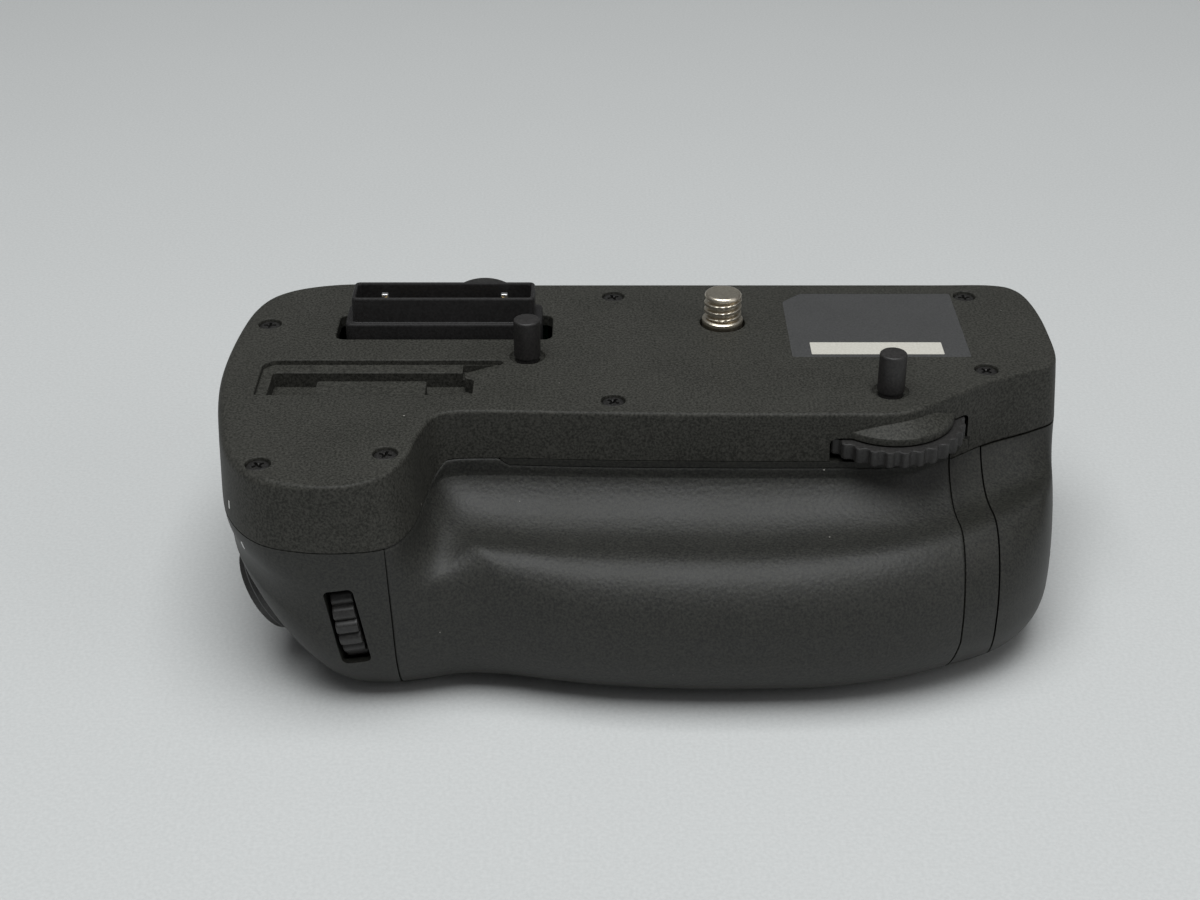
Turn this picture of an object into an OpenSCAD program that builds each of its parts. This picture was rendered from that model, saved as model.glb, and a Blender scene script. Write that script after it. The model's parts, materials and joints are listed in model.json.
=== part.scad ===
// Battery grip that screws under a camera: cover, hand grip, battery drawer, mounting screw and controls.
// X runs from the shutter end to the battery end, Y to the back, Z up. The mounting screw stands on the Z axis.

/* [Case] */
// Height of the face that the camera sits on
case_h = 41.5; // [41:0.1:42.5]
// Height of the cover's skirt at the two ends
skirt_h = 11.3; // [11:0.1:11.6]
// Reach of the shutter end from the mounting screw
reach_left = 82.6; // [82:0.1:84]
// Reach of the battery end from the mounting screw
reach_right = 55.4; // [55:0.1:57]
// Rear wall behind the mounting screw
rear_y = 15.4; // [15.2:0.1:16.4]
// Front wall of the cover before the mounting screw
fascia_y = 33; // [32.8:0.1:33.6]
// Front of the shutter lobe
lobe_y = 55.4; // [55:0.1:56]
// Front of the hand grip
grip_y = 57; // [56.6:0.1:58]
// Thickness of the camera plate and of the cover's walls
wall = 2; // [1.8:0.1:2.2]
// Thickness of the lower body's shell
shell = 2.4; // [2.2:0.1:2.6]
// Thickness of the rubber on the hand grip
rubber_t = 0.9; // [0.7:0.1:1]

/* [Camera mount] */
// Outer radius of the mounting screw's thread, 1/4 inch coarse
thread_r = 3.175; // [3.1:0.005:3.25]
// Rise of one thread turn
thread_pitch = 1.27; // [1.2:0.01:1.35]
// Height of the mounting screw above the camera plate
screw_up = 5.6; // [5:0.1:6]
// Radius of the two locating pins
pin_r = 2.2; // [2:0.05:2.3]
// Height of the locating pins above the camera plate
pin_up = 6.8; // [6:0.1:7.5]
// Left locating pin from the mounting screw, along X
pin_left_x = 32.9; // [32.5:0.1:33.5]
// Left locating pin from the mounting screw, toward the front
pin_left_y = 12.9; // [12.6:0.1:13.2]
// Radius of the tripod socket's drilled core
socket_r = 2.6; // [2.5:0.05:2.7]

/* [Wheel and gears] */
// Wheel and right locating pin from the mounting screw, along X
wheel_x = 25.6; // [25.2:0.1:26]
// Wheel and right locating pin from the mounting screw, toward the front
wheel_y = 25.2; // [24.8:0.1:25.4]
// Radius of the wheel's rim
wheel_r = 12.3; // [12:0.1:12.6]
// Thickness of the wheel's rim
wheel_t = 2.8; // [2.4:0.1:2.9]
// Number of finger notches round the rim
wheel_notches = 30; // [24:1:34]
// Thickness of the gears
gear_t = 3.4; // [3:0.1:3.6]

/* [Connector] */
// Length of the connector tower at its foot
tower_l = 33; // [32:0.1:34]
// Width of the connector tower at its foot
tower_w = 8.2; // [7.8:0.1:8.4]
// Height of the connector tower above the camera plate
tower_up = 6.8; // [6:0.1:8]

/* [Battery] */
// Length of the battery pack
pack_l = 56; // [54:0.5:57]
// Width of the battery pack
pack_w = 36; // [35:0.1:36.2]
// Thickness of the battery pack
pack_t = 19.7; // [19:0.1:19.9]

/* [Controls] */
// Radius of the shutter button
button_r = 4.6; // [4.2:0.1:4.7]
// Travel of the shutter button
button_travel = 1.4; // [1:0.1:1.5]
// Tilt of the shutter axis below the horizontal
shutter_tilt = 30; // [28:1:32]
// Radius of the front dial
front_dial_r = 9.3; // [9:0.1:9.4]
// Thickness of the front dial
front_dial_t = 3.6; // [3.2:0.1:3.7]
// Lean of the front dial to the left
front_dial_tilt = 9; // [6:1:10]
// Radius of the rear dial
rear_dial_r = 9; // [8.6:0.1:9.2]
// Thickness of the rear dial
rear_dial_t = 5; // [4.4:0.1:5.2]
// Radius of the multi selector's pad
selector_r = 6.4; // [6:0.1:6.5]
// Radius of the latch knob
knob_r = 8.8; // [8.4:0.1:9]

/* [Hidden] */
$fn = 48;

// Clearances
seam_gap = 0.2;
run_gap = 0.05;
seat_gap = 0.02;

// Heights of the cover and of the drive below it
seam_z = case_h - skirt_h;
under_z = case_h - wall;
lip_z = case_h - 8.4;
rim_top = case_h - 4.6;
rim_low = rim_top - wheel_t;
gear_top = rim_low - 0.3;
gear_low = gear_top - gear_t;
chassis_top = gear_low - 0.7;
chassis_t = 1.4;

// Named edges of the plan: right, left, rear, fascia, grip front and lobe front
R = reach_right;
L = -reach_left;
E = rear_y;
F = -fascia_y;
G = -grip_y;
D = -lobe_y;

// Stations round the case, counterclockwise from the battery end: the outline at the top face, at the cover's
// seam, at the widest height and at the base, then the widest height, the roundness below it and the shelf's lift
STATIONS = [
    // Battery end
    [R - 0.4, -3, R, -3, R - 1, -8, R - 9.4, -8, 12, 2, 2],
    [R - 1, 7, R - 0.7, 7, R - 1, 5, R - 9.4, 4, 12, 2, 1],
    [R - 2.8, E - 2.4, R - 2.7, E - 2.4, R - 2.8, E - 3, R - 12, E - 6, 9, 2, 0],
    [R - 6.9, E - 0.1, R - 6.9, E - 0.1, R - 7, E - 0.2, R - 16.4, E - 3.4, 6, 2, 0],
    // Rear wall
    [38, E, 38, E, 38, E, 32, E - 3.1, 5, 2, 0],
    [19, E, 19, E, 19, E, 17, E - 3.1, 5, 2, 0],
    [0, E, 0, E, 0, E, 0, E - 3.1, 5, 2, 0],
    [-20, E, -20, E, -20, E, -20, E - 3.1, 5, 2, 0],
    [-40, E, -40, E, -40, E, -39, E - 3.1, 5, 2, 0],
    [-56, E + 0.2, -56, E + 0.2, -56, E + 0.2, -52, E - 3.4, 6, 2, 0],
    // Shutter end, sloping inward toward the base
    [L + 14.6, E + 0.4, L + 14.6, E + 0.4, L + 14.6, E + 0.2, L + 23.7, E - 4.9, 12, 1.7, 0],
    [L + 6.6, E - 2.2, L + 6.6, E - 2.2, L + 6.8, E - 2.4, L + 19.7, E - 8.9, 18, 1.5, 0],
    [L + 2.2, E - 8.4, L + 2.2, E - 8.4, L + 2.6, E - 8.6, L + 18.2, E - 15.4, 22, 1.35, 0],
    [L + 0.3, -5, L + 0.4, -5, L + 0.8, -5, L + 17.7, -9, 24, 1.25, 0],
    [L, -19, L + 0.1, -19, L + 0.6, -19, L + 17.7, -20, 24, 1.25, 0],
    [L + 1.6, -32, L + 1.4, -32.5, L + 2.2, -32, L + 18.7, -30, 24, 1.25, 0],
    // Lobe of the shutter end
    [L + 4.7, D + 10.9, L + 4.4, D + 10.1, L + 5.6, D + 10.4, L + 20.7, D + 17.9, 23, 1.3, 0],
    [L + 10, D + 3.1, L + 9.8, D + 2.4, L + 11.7, D + 3.4, L + 23.4, D + 13.9, 19, 1.55, 0],
    [L + 17.7, D + 0.1, L + 17.2, D - 0.4, L + 19.2, D + 0.5, L + 26.7, D + 11.8, 15, 1.9, 0],
    [L + 24.8, D + 0.3, L + 25.2, D - 0.5, L + 26.7, D + 0.6, L + 30.7, D + 11.6, 13, 2, 0],
    [L + 29.7, D + 3.4, L + 30.4, D + 1.4, L + 33.6, D + 1.8, L + 35.2, D + 12.8, 12, 2, 0],
    [L + 32.4, D + 9.1, L + 33.3, D + 7.4, L + 39.7, G + 4.6, L + 40.2, G + 16, 12, 2, 1],
    // Hand grip below the fascia
    [L + 34, F - 5, L + 34.7, F - 5.5, -36, G + 4, -36.5, G + 16.4, 12, 2, 1],
    [L + 36.7, F + 0.2, L + 37.2, F - 0.2, -29, G + 2.4, -30, G + 15.6, 12, 2, 0.5],
    [-38, F + 1.1, -37.5, F + 0.6, -20, G + 0.8, -21, G + 14, 12, 2, 0],
    [-20, F + 0.4, -20, F - 0.1, -8, G, -8.5, G + 12.6, 12, 2, 0],
    [0, F, 0, F - 0.4, 4, G, 3.5, G + 12.4, 12, 2, 0],
    [16, F, 16, F - 0.4, 16, G + 0.7, 15, G + 13, 12, 2, 0.5],
    [26.5, F + 0.4, 26.5, F, 27, G + 2.8, 24.5, G + 15.8, 12, 2, 1],
    // Front corner of the battery end
    [33.5, F + 4.8, 34, F + 4.2, 36, G + 6.2, 32.2, G + 19.2, 12, 2, 1],
    [R - 13.4, F + 11.2, R - 12.9, F + 10.5, R - 10.4, G + 11.5, R - 15.6, G + 22.5, 12, 2, 1],
    [R - 5.4, F + 15.4, R - 4.6, F + 15, R - 4.2, G + 20, R - 10.6, G + 28.5, 12, 2, 1.2],
    [R - 1.2, F + 18.8, R - 0.2, F + 19.2, R - 1.6, G + 33, R - 9.4, G + 38.5, 12, 2, 2],
];

// Finger shelf from the widest outline in to the seam: share of the way in, and height
SHELF = [[0, 12], [0, 16], [0.05, 20], [0.14, 23.2], [0.26, 25], [0.38, 25.3], [0.52, 24.8], [0.66, 24.7],
    [0.79, 25.6], [0.9, 27.3], [0.97, 29], [1, seam_z]];
// The same for the hollow inside, which stays below the shelf and then rises behind the fascia
HOLLOW = [[0, 12], [0, 16], [0.06, 19.6], [0.16, 21.6], [0.3, 22], [0.93, 22], [1, 23.5], [1, seam_z]];
shelf_reach = 20;
shelf_foot = SHELF[0].y;
steps_per_station = 2;
base_rings = 6;

function wrap(i, n) = (i + n) % n;
function curve(a, b, c, d, t) =
    0.5 * (2 * b + (c - a) * t + (2 * a - 5 * b + 4 * c - d) * t * t + (3 * b - a - 3 * c + d) * t * t * t);
function smooth(rows) = let (n = len(rows)) [for (i = [0:n - 1]) for (k = [0:steps_per_station - 1])
    curve(rows[wrap(i - 1, n)], rows[i], rows[wrap(i + 1, n)], rows[wrap(i + 2, n)], k / steps_per_station)];
ROUND = smooth(STATIONS);
ring_n = len(ROUND);

function unit(v) = v / norm(v);
function plan_inset(plan, d) = let (n = len(plan)) [for (i = [0:n - 1])
    let (run = unit(plan[wrap(i + 1, n)] - plan[wrap(i - 1, n)])) plan[i] + d * [-run.y, run.x]];
function raised(plan, z) = [for (p = plan) [p.x, p.y, z]];
TOP_PLAN = [for (q = ROUND) [q[0], q[1]]];
SEAM_PLAN = [for (q = ROUND) [q[2], q[3]]];
WIDEST_PLAN = [for (q = ROUND) [q[4], q[5]]];
BASE_PLAN = [for (q = ROUND) [q[6], q[7]]];

// A ring of the rounded lower half, from the base at 0 degrees to the widest outline at 90
function low_ring(base, widest, floor_z, angle) = [for (i = [0:ring_n - 1])
    let (e = 2 / ROUND[i][9], h = ROUND[i][8] - floor_z, out = pow(sin(angle), e), up = 1 - pow(cos(angle), e))
    let (p = base[i] + (widest[i] - base[i]) * out) [p.x, p.y, floor_z + h * up]];

// A ring above the widest outline: a plain wall where the outlines agree, the finger shelf where they part
function high_ring(widest, seam, table, k) = [for (i = [0:ring_n - 1])
    let (t = k / (len(table) - 1), s = table[k], h = ROUND[i][8])
    let (part = min(1, norm(seam[i] - widest[i]) / shelf_reach))
    let (wall_z = h + (seam_z - h) * t)
    let (shelf_z = s.y + (h - shelf_foot) * (1 - t) + ROUND[i][10] * pow(sin(180 * t), 2))
    let (p = widest[i] + (seam[i] - widest[i]) * s.x)
    [p.x, p.y, wall_z * (1 - part) + shelf_z * part]];

function rings(base, widest, seam, table, floor_z, top_z) = concat(
    [for (j = [0:base_rings - 1]) low_ring(base, widest, floor_z, 90 * j / base_rings)],
    [for (k = [0:len(table) - 1]) high_ring(widest, seam, table, k)],
    [raised(seam, top_z)]);
GRID = rings(BASE_PLAN, WIDEST_PLAN, SEAM_PLAN, SHELF, 0, lip_z);
last_ring = len(GRID) - 1;

function outward(j, i) =
    let (ring = GRID[j], up = GRID[min(j + 1, last_ring)], down = GRID[max(j - 1, 0)])
    unit(cross(ring[wrap(i + 1, ring_n)] - ring[wrap(i - 1, ring_n)], up[i] - down[i]));

// The grid moved inward by d; the first ring only rises, and the last one passes the lip
function sunk(d) = [for (j = [0:last_ring]) [for (i = [0:ring_n - 1])
    j == 0 ? GRID[0][i] + [0, 0, d]
    : GRID[j][i] - d * outward(j, i) + (j == last_ring ? [0, 0, 0.5] : [0, 0, 0])]];

// A closed solid through rings of equal length, lowest first. Its two ends fan out from a hub behind the inner
// corner of the fascia, the place from which the whole outline is in sight
HUB = [L + 36.6, -5];
module through_rings(rings) {
    n = len(rings[0]);
    m = len(rings);
    sides = [for (j = [0:m - 2]) for (i = [0:n - 1]) let (a = j * n + i, b = j * n + (i + 1) % n)
        each [[a, a + n, b + n], [a, b + n, b]]];
    floor_fan = [for (i = [0:n - 1]) [m * n, i, (i + 1) % n]];
    roof_fan = [for (i = [0:n - 1]) [m * n + 1, (m - 1) * n + (i + 1) % n, (m - 1) * n + i]];
    hubs = [[HUB.x, HUB.y, rings[0][0].z], [HUB.x, HUB.y, rings[m - 1][0].z]];
    polyhedron(points = concat([for (r = rings) each r], hubs), faces = concat(sides, floor_fan, roof_fan));
}

module block(x0, x1, y0, y1, z0, z1) translate([x0, y0, z0]) cube([x1 - x0, y1 - y0, z1 - z0]);
module post(p, r, z0, z1) translate([p.x, p.y, z0]) cylinder(r = r, h = z1 - z0);
module rod_x(y, z, r, x0, x1) translate([x0, y, z]) rotate([0, 90, 0]) cylinder(r = r, h = x1 - x0);
module rod_y(x, z, r, y0, y1) translate([x, y0, z]) rotate([-90, 0, 0]) cylinder(r = r, h = y1 - y0);
// A prism along X over an outline in Y and Z, and one along Y over an outline in X and Z
module run_x(x0, x1) translate([x0, 0, 0]) rotate([90, 0, 90]) linear_extrude(x1 - x0) children();
module run_y(y0, y1) translate([0, y1, 0]) rotate([90, 0, 0]) linear_extrude(y1 - y0) children();

// A rectangle about a centre with rounded corners
function round_box(c, w, h, r) = [for (k = [0:3]) for (a = [0:30:90])
    let (sx = (k == 0 || k == 3) ? 1 : -1, sy = k < 2 ? 1 : -1)
    c + [sx * (w / 2 - r), sy * (h / 2 - r)] + r * [cos(90 * k + a), sin(90 * k + a)]];

// Involute gear outline with a tooth centred on the X axis
pressure = 20;
backlash = 0.14;
function roll(a) = tan(a) * 180 / PI - a;
function tooth_half(m, n, rho) =
    let (r = m * n / 2) (PI * m / 4 - backlash / 2) / r * 180 / PI + roll(pressure)
    - roll(acos(min(1, r * cos(pressure) / rho)));
function polar(r, a) = [r * cos(a), r * sin(a)];
flank_steps = 3;
function gear_outline(n, m) =
    let (r = m * n / 2, foot = r - 1.2 * m, tip = r + 0.8 * m, low = max(foot, r * cos(pressure)))
    let (radii = [for (k = [0:flank_steps]) low + (tip - low) * k / flank_steps])
    [for (k = [0:n - 1]) let (mid = 360 * k / n) each concat(
        [polar(foot, mid - tooth_half(m, n, low))],
        [for (rho = radii) polar(rho, mid - tooth_half(m, n, rho))],
        [for (k = [flank_steps:-1:0]) polar(radii[k], mid + tooth_half(m, n, radii[k]))],
        [polar(foot, mid + tooth_half(m, n, low))])];

// Master forms: the lower body with the lip all round, the same sunk by the rubber, and its hollow
module body_form() through_rings(GRID);
module rubber_back() through_rings(sunk(rubber_t));
module hollow_form(d) through_rings(rings(plan_inset(BASE_PLAN, d), plan_inset(WIDEST_PLAN, d),
    plan_inset(SEAM_PLAN, d), HOLLOW, d, lip_z + 1));
edge_chamfer = 0.5;
module cover_form() through_rings([raised(SEAM_PLAN, seam_z), raised(TOP_PLAN, case_h - edge_chamfer),
    raised(plan_inset(TOP_PLAN, edge_chamfer), case_h)]);
module cover_hollow() translate([0, 0, seam_z - 1])
    linear_extrude(under_z - seam_z + 1) polygon(plan_inset(TOP_PLAN, wall));

// The low part of the fascia belongs to the hand grip, between the lobe and the far side of the wheel
cap_x = R - 14.2;
lip_x1 = wheel_x + 10.2;
module lip_zone() run_y(F - 8, F + 8)
    polygon([[L + 34, seam_z - 1], [L + 37.5, lip_z], [lip_x1, lip_z], [lip_x1, seam_z - 1]]);
module above_seam() difference() {
    block(L - 5, R + 5, G - 5, E + 5, seam_z, case_h);
    lip_zone();
}

// Where the rubber lies: between its two side edges, above the turn to the base
rubber_left = L + 29.2;
rubber_right = 35.6;
rubber_low = 2.6;
module rubber_zone() run_y(G - 5, F + 3)
    polygon([[rubber_left, lip_z + 1], [rubber_left + 1.1, rubber_low], [rubber_right - 1.5, rubber_low],
        [rubber_right, rubber_low + 8], [rubber_right, lip_z + 1]]);

// Camera plate: screws, posts, wells and openings
cover_screw_r = 1.75;
cover_screw_hole = 1.15;
COVER_SCREWS = [[L + 5.4, -0.6], [L + 10.4, D + 6.9], [L + 29.2, D + 10.1], [-18.6, E - 4.9], [-18.8, F + 4.7],
    [R - 12.4, E - 4.9], [max(R - 13.2, wheel_x + wheel_r + 1.5), F + 15.4]];
boss_r = 2.3;
CHASSIS_POSTS = [[-12.6, E - 5.6], [20, E - 9.4], [-6, F + 9], [cap_x - 8, -7]];
chassis_post_r = 2.3;
small_screw_r = 0.9;
small_head_r = 1.6;
small_head_t = 1;
head_gap = 0.3;
wheel_c = [wheel_x, -wheel_y];
pin_left_c = [-pin_left_x, -pin_left_y];
pin_seat = 3.5;
// Below the plate a pin is a thinner shank; its hole in the plate has a wider mouth
pin_shank_r = pin_r - 0.2;
pin_mouth_r = pin_r + 0.6;
pin_mouth_t = 0.5;
pin_neck = 0.3;
pin_tip = 0.6;
bush_r = 6;
journal_r = 3.4;
bush_low = rim_low + 0.8;
plate_hole_r = 4.5;

// Connector tower
tower_c = [-47.2, -1.8];
tower_rim_l = tower_l - 2.4;
tower_rim_w = tower_w - 1.4;
skirt_up = 2.4;
opening_gap = 1.7;
board_top = case_h - 9.3;
board_t = 1.2;
BOARD_POSTS = [[-68, 3.5], [-26, 3.5], [-68, -8.6], [-26, -8.6]];
board_post_r = 2;

// Pocket that stores the camera's contact cover
store_x0 = -76.2;
store_x1 = -41.8;
store_front = -26.5;
store_rear = -14.3;
store_step = 0.9;
store_deep = 2.9;
module store_outline() polygon([[store_x0, store_front], [store_x0, store_rear - 1.5], [store_x0 + 1.5, store_rear],
    [store_x1 + 4.6, store_rear], [store_x1 + 5.2, store_rear - 1], [store_x1 + 0.6, store_rear - 5.4],
    [store_x1 + 0.3, store_front]]);
module store_pocket() {
    translate([0, 0, case_h - store_step]) linear_extrude(store_step + 1) store_outline();
    difference() {
        block(store_x0 + 1.8, store_x1, store_front, store_rear - 2.9, case_h - store_deep, case_h);
        block(-66.8, -49, store_front - 1, store_rear - 5.7, case_h - store_deep - 1, case_h - store_step);
    }
}

// Label on the plate behind the right pin
label_t = 0.2;
LABEL = [[10.9, -13.2], [40.5, -13.2], [40.5, 11.4], [14.2, 11.4], [10.9, 8.1]];

// Rear selector
selector_x = -41.5;
selector_boss_r = 8;
selector_z = case_h - selector_boss_r - 0.8;
selector_boss_low = E - 2.8;
selector_boss_top = E + 1.2;
selector_collar_top = E + 3.6;
pivot_y = E - 0.4;
pivot_pin_r = 0.55;
gimbal_r = 4.3;
gimbal_bore = 3;
gimbal_well = 5;

module wheel_brow() translate([wheel_c.x, wheel_c.y, rim_top + 0.3]) {
    cylinder(r = wheel_r - 1, h = 1.8);
    translate([0, 0, 1.8]) cylinder(r1 = wheel_r - 1, r2 = wheel_r - 4, h = 1.2);
}
module wheel_slot() post(wheel_c, wheel_r + 0.7, lip_z - 0.5, rim_top + 0.3);

module top_cover() color("#2c2c2e") difference() {
    union() {
        difference() {
            union() {
                cover_form();
                wheel_brow();
            }
            cover_hollow();
        }
        for (p = CHASSIS_POSTS) post(p, chassis_post_r, chassis_top, under_z + 0.5);
        for (p = BOARD_POSTS) post(p, board_post_r, board_top, under_z + 0.5);
        post(pin_left_c, pin_shank_r + 1.6, under_z - pin_seat, under_z + 0.5);
        post([0, 0], bush_r + 1.4, bush_low, under_z + 0.5);
        block(store_x0 - 0.8, store_x1 + 3, store_front - 1.4, store_rear + 0.6,
            case_h - store_deep - 2, under_z + 0.5);
    }
    post([0, 0], plate_hole_r, under_z - 1, case_h + 1);
    post([0, 0], bush_r + seat_gap, bush_low - 1, under_z);
    post(wheel_c, pin_shank_r + seat_gap, under_z - 1, case_h + 1);
    post(pin_left_c, pin_shank_r + seat_gap, under_z - pin_seat + 1, case_h + 1);
    for (p = [wheel_c, pin_left_c]) post(p, pin_mouth_r, case_h - pin_mouth_t, case_h + 1);
    for (p = CHASSIS_POSTS) post(p, small_screw_r + seat_gap, chassis_top - 1, chassis_top + 6);
    for (p = BOARD_POSTS) post(p, small_screw_r + seat_gap, board_top - 1, board_top + 4.5);
    for (p = COVER_SCREWS) {
        post(p, cover_screw_r + 0.2, case_h - 1, case_h + 1);
        post(p, cover_screw_hole, under_z - 7, case_h);
    }
    translate([0, 0, under_z - 1]) linear_extrude(wall + 2)
        polygon(round_box(tower_c, tower_l + 2 * opening_gap, tower_w + 1.2, 1.5));
    store_pocket();
    translate([0, 0, case_h - label_t]) linear_extrude(1) polygon(LABEL);
    rod_y(selector_x, selector_z, selector_boss_r + run_gap, E - 6, E + 2);
    wheel_slot();
    lip_zone();
}

// Battery chamber in Y and Z, and the drawer and pack that run in it
base_t = 1.4;
chamber_gap = 0.3;
tray_t = 0.8;
pack_rear = -6.3;
pack_front = pack_rear - pack_w;
pack_low = base_t + tray_t + 0.2;
pack_top = pack_low + pack_t;
pack_x0 = -36;
key = 4.7;
chamber_front = pack_front - tray_t - chamber_gap - 0.2;
chamber_rear = pack_rear + tray_t + chamber_gap + 0.2;
chamber_top = pack_top + 0.3;
chamber_x0 = pack_x0 - 4.5;
chamber_wall = 1.2;
module chamber_outline() polygon([[chamber_front, base_t + key + 0.4], [chamber_front + key + 0.4, base_t],
    [chamber_rear, base_t], [chamber_rear, chamber_top], [chamber_front + 2, chamber_top],
    [chamber_front, chamber_top - 2]]);

// Shutter control: a frame whose Z axis leaves the sloping face
shutter_c = [L + 9.1, D + 18.4, 12.9];
module shutter_frame() translate(shutter_c) rotate([0, -90 - shutter_tilt, 0]) children();
collar_r = 8.6;
collar_low = -5;
tube_r = 7.6;
tube_low = -7.6;
stem_r = 2.2;

// Dials
front_dial_c = [L + 23, D + 9.1, 16.3];
module front_dial_frame() translate(front_dial_c) rotate([0, -front_dial_tilt, 0]) children();
rear_dial_c = [L + 16.6, E - 7.8, 17];
module rear_dial_frame() translate(rear_dial_c) children();
dial_gap = 0.5;
// Room for a dial inside the wall, and a straight-sided slot where it shows; side is -1 at the front, 1 at the rear
module dial_window(r, t, tall, side) {
    translate([0, side * r, 0]) cube([t + 2 * dial_gap, 8, tall], center = true);
    rotate([0, 90, 0]) cylinder(r = r + dial_gap, h = t + 2 * dial_gap, center = true);
}
axle_r = 1;
cheek_gap = 0.5;
cheek_t = 1;
cheek_h = 5;

// Rear lock button and the upright board behind the rear wall
lock_x = L + 26.1;
lock_z = 17;
lock_r = 3.1;
rear_board_y = E - 7.8;
rear_board_t = 1.2;
REAR_POSTS = [[-34, 13], [-47, 11], [lock_x - 2.2, 25]];
thumb_x0 = lock_x + lock_r + 2.4;
thumb_x1 = -18;
THUMB_PAD = round_box([(thumb_x0 + thumb_x1) / 2, 13.7], thumb_x1 - thumb_x0, 16.4, 4);
thumb_t = 1;
thumb_sink = 0.6;
bush_out = 4.4;
bush_h = 9;

// Shelf over the battery drawer that takes the cover's two end screws
shelf_low = seam_z - 2;
SHELF_PLAN = [[cap_x - 1, E - 3], [R - 8.9, E - 3.4], [R - 8.9, F + 18.5], [R - 11.9, F + 14], [cap_x - 1, F + 13]];

module body_hollow() difference() {
    hollow_form(shell);
    block(cap_x - 1.6, R + 5, G - 5, E + 5, -1, case_h);
    block(chamber_x0 - chamber_wall, cap_x, chamber_front - chamber_wall, chamber_rear + chamber_wall, -1,
        chamber_top + chamber_wall);
}

// The lower shell: sunk for the rubber, then hollowed, then cut at the seam and at the battery drawer
module body_shell() difference() {
    difference() {
        difference() {
            body_form();
            difference() {
                rubber_zone();
                rubber_back();
            }
        }
        body_hollow();
    }
    above_seam();
    block(cap_x, R + 5, G - 5, E + 5, -1, case_h);
}

// Bosses for the cover's screws: those of the lower shell have a foot in its walls, the last two stand on the shelf
module cover_bosses() for (k = [0:6])
    post(COVER_SCREWS[k], boss_r, k < 5 ? seam_z - 6 : shelf_low, under_z);
module boss_feet() for (k = [0:4]) post(COVER_SCREWS[k], boss_r + 0.8, seam_z - 6, seam_z - 0.2);

module main_body() color("#29292b") difference() {
    union() {
        body_shell();
        boss_feet();
        intersection() {
            cover_bosses();
            translate([0, 0, shelf_low - 5]) linear_extrude(case_h) polygon(plan_inset(TOP_PLAN, wall + 0.1));
        }
        translate([0, 0, shelf_low]) linear_extrude(seam_z - shelf_low) polygon(SHELF_PLAN);
        post([0, 0], bush_out + 1.4, 0.2, bush_h + 1.2);
        for (p = REAR_POSTS) rod_y(p.x, p.y, 2, rear_board_y + rear_board_t, E - 1.5);
        block(L + 22.1, L + 27.1, front_dial_c.y + front_dial_r + 1.8, front_dial_c.y + front_dial_r + 3.2, 1.2, 21);
        block(L + 19.1, L + 22.6, rear_dial_c.y - rear_dial_r - 3.8, rear_dial_c.y - rear_dial_r - 2.4, 1.2, 24);
    }
    run_x(chamber_x0, cap_x + 1) chamber_outline();
    for (p = COVER_SCREWS) post(p, cover_screw_hole - 0.13, under_z - 7, under_z + 1);
    post([0, 0], bush_out + seat_gap, -1, bush_h);
    for (p = CHASSIS_POSTS)
        post(p, small_head_r + head_gap, chassis_top - chassis_t - small_head_t - head_gap, chassis_top);
    post(wheel_c, gear_m * (wheel_teeth / 2 + 0.8) + 0.6, gear_low - 0.4, lip_z + 1);
    shutter_frame() translate([0, 0, -12]) cylinder(r = collar_r + seat_gap, h = 30);
    front_dial_frame() dial_window(front_dial_r, front_dial_t, 14.2, -1);
    rear_dial_frame() dial_window(rear_dial_r, rear_dial_t, 13, 1);
    rod_y(lock_x, lock_z, lock_r + run_gap, E - 5, E + 2);
    rod_y(selector_x, selector_z, selector_boss_r + run_gap, E - 6, E + 2);
    run_y(E - thumb_sink, E + 2) polygon(THUMB_PAD);
}

module grip_rubber() color("#232325") difference() {
    intersection() {
        difference() {
            body_form();
            rubber_back();
        }
        rubber_zone();
    }
    above_seam();
}

module thumb_rubber() color("#232325") run_y(E - thumb_sink, E - thumb_sink + thumb_t) polygon(THUMB_PAD);

module cross_screw(r, shank_r, head_t, length) difference() {
    union() {
        translate([0, 0, -head_t]) cylinder(r = r, h = head_t);
        translate([0, 0, -length]) cylinder(r = shank_r, h = length);
    }
    for (a = [0, 90]) rotate(a) translate([0, 0, -0.2]) cube([r * 1.2, r * 0.3, 1], center = true);
}
module cover_screws() color("#1c1c1e") for (p = COVER_SCREWS)
    translate([p.x, p.y, case_h - 0.3]) cross_screw(cover_screw_r, cover_screw_hole - 0.15, 0.7, 7.5);

module rating_label() color("#77777b") translate([0, 0, case_h - label_t])
    linear_extrude(label_t - 0.02) polygon(LABEL);

// Connector
module tower_plan(grow) polygon(round_box(tower_c, tower_rim_l + grow, tower_rim_w + grow, 0.9));
tower_wall = 1.5;
tower_floor = case_h + 0.8;
module connector_tower() color("#1f1f21") difference() {
    union() {
        translate([0, 0, board_top]) linear_extrude(case_h + skirt_up - board_top)
            polygon(round_box(tower_c, tower_l, tower_w, 1));
        translate([0, 0, board_top]) linear_extrude(case_h + tower_up - board_top) tower_plan(0);
    }
    translate([0, 0, tower_floor]) linear_extrude(tower_up) tower_plan(-2 * tower_wall);
    translate([tower_c.x, tower_c.y, tower_floor]) cube([tower_rim_l - 6, 1.2 + 2 * seat_gap, 4], center = true);
    for (s = [-1, 1]) translate([tower_c.x + s * (tower_rim_l / 2 - 5.2), tower_c.y + 1.2, tower_floor])
        cube([2 + 2 * seat_gap, 1 + 2 * seat_gap, 3], center = true);
}
module connector_contacts() color("#c8a24a") translate([tower_c.x, tower_c.y, tower_floor])
    translate([-(tower_rim_l - 6) / 2 + 0.1, -0.6, -2]) {
        cube([tower_rim_l - 6.2, 1.2, 2.4]);
        for (k = [0:15]) translate([0.7 + k * (tower_rim_l - 8) / 15, 0.2, 2.4]) cube([0.6, 0.8, 1.4]);
    }
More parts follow.
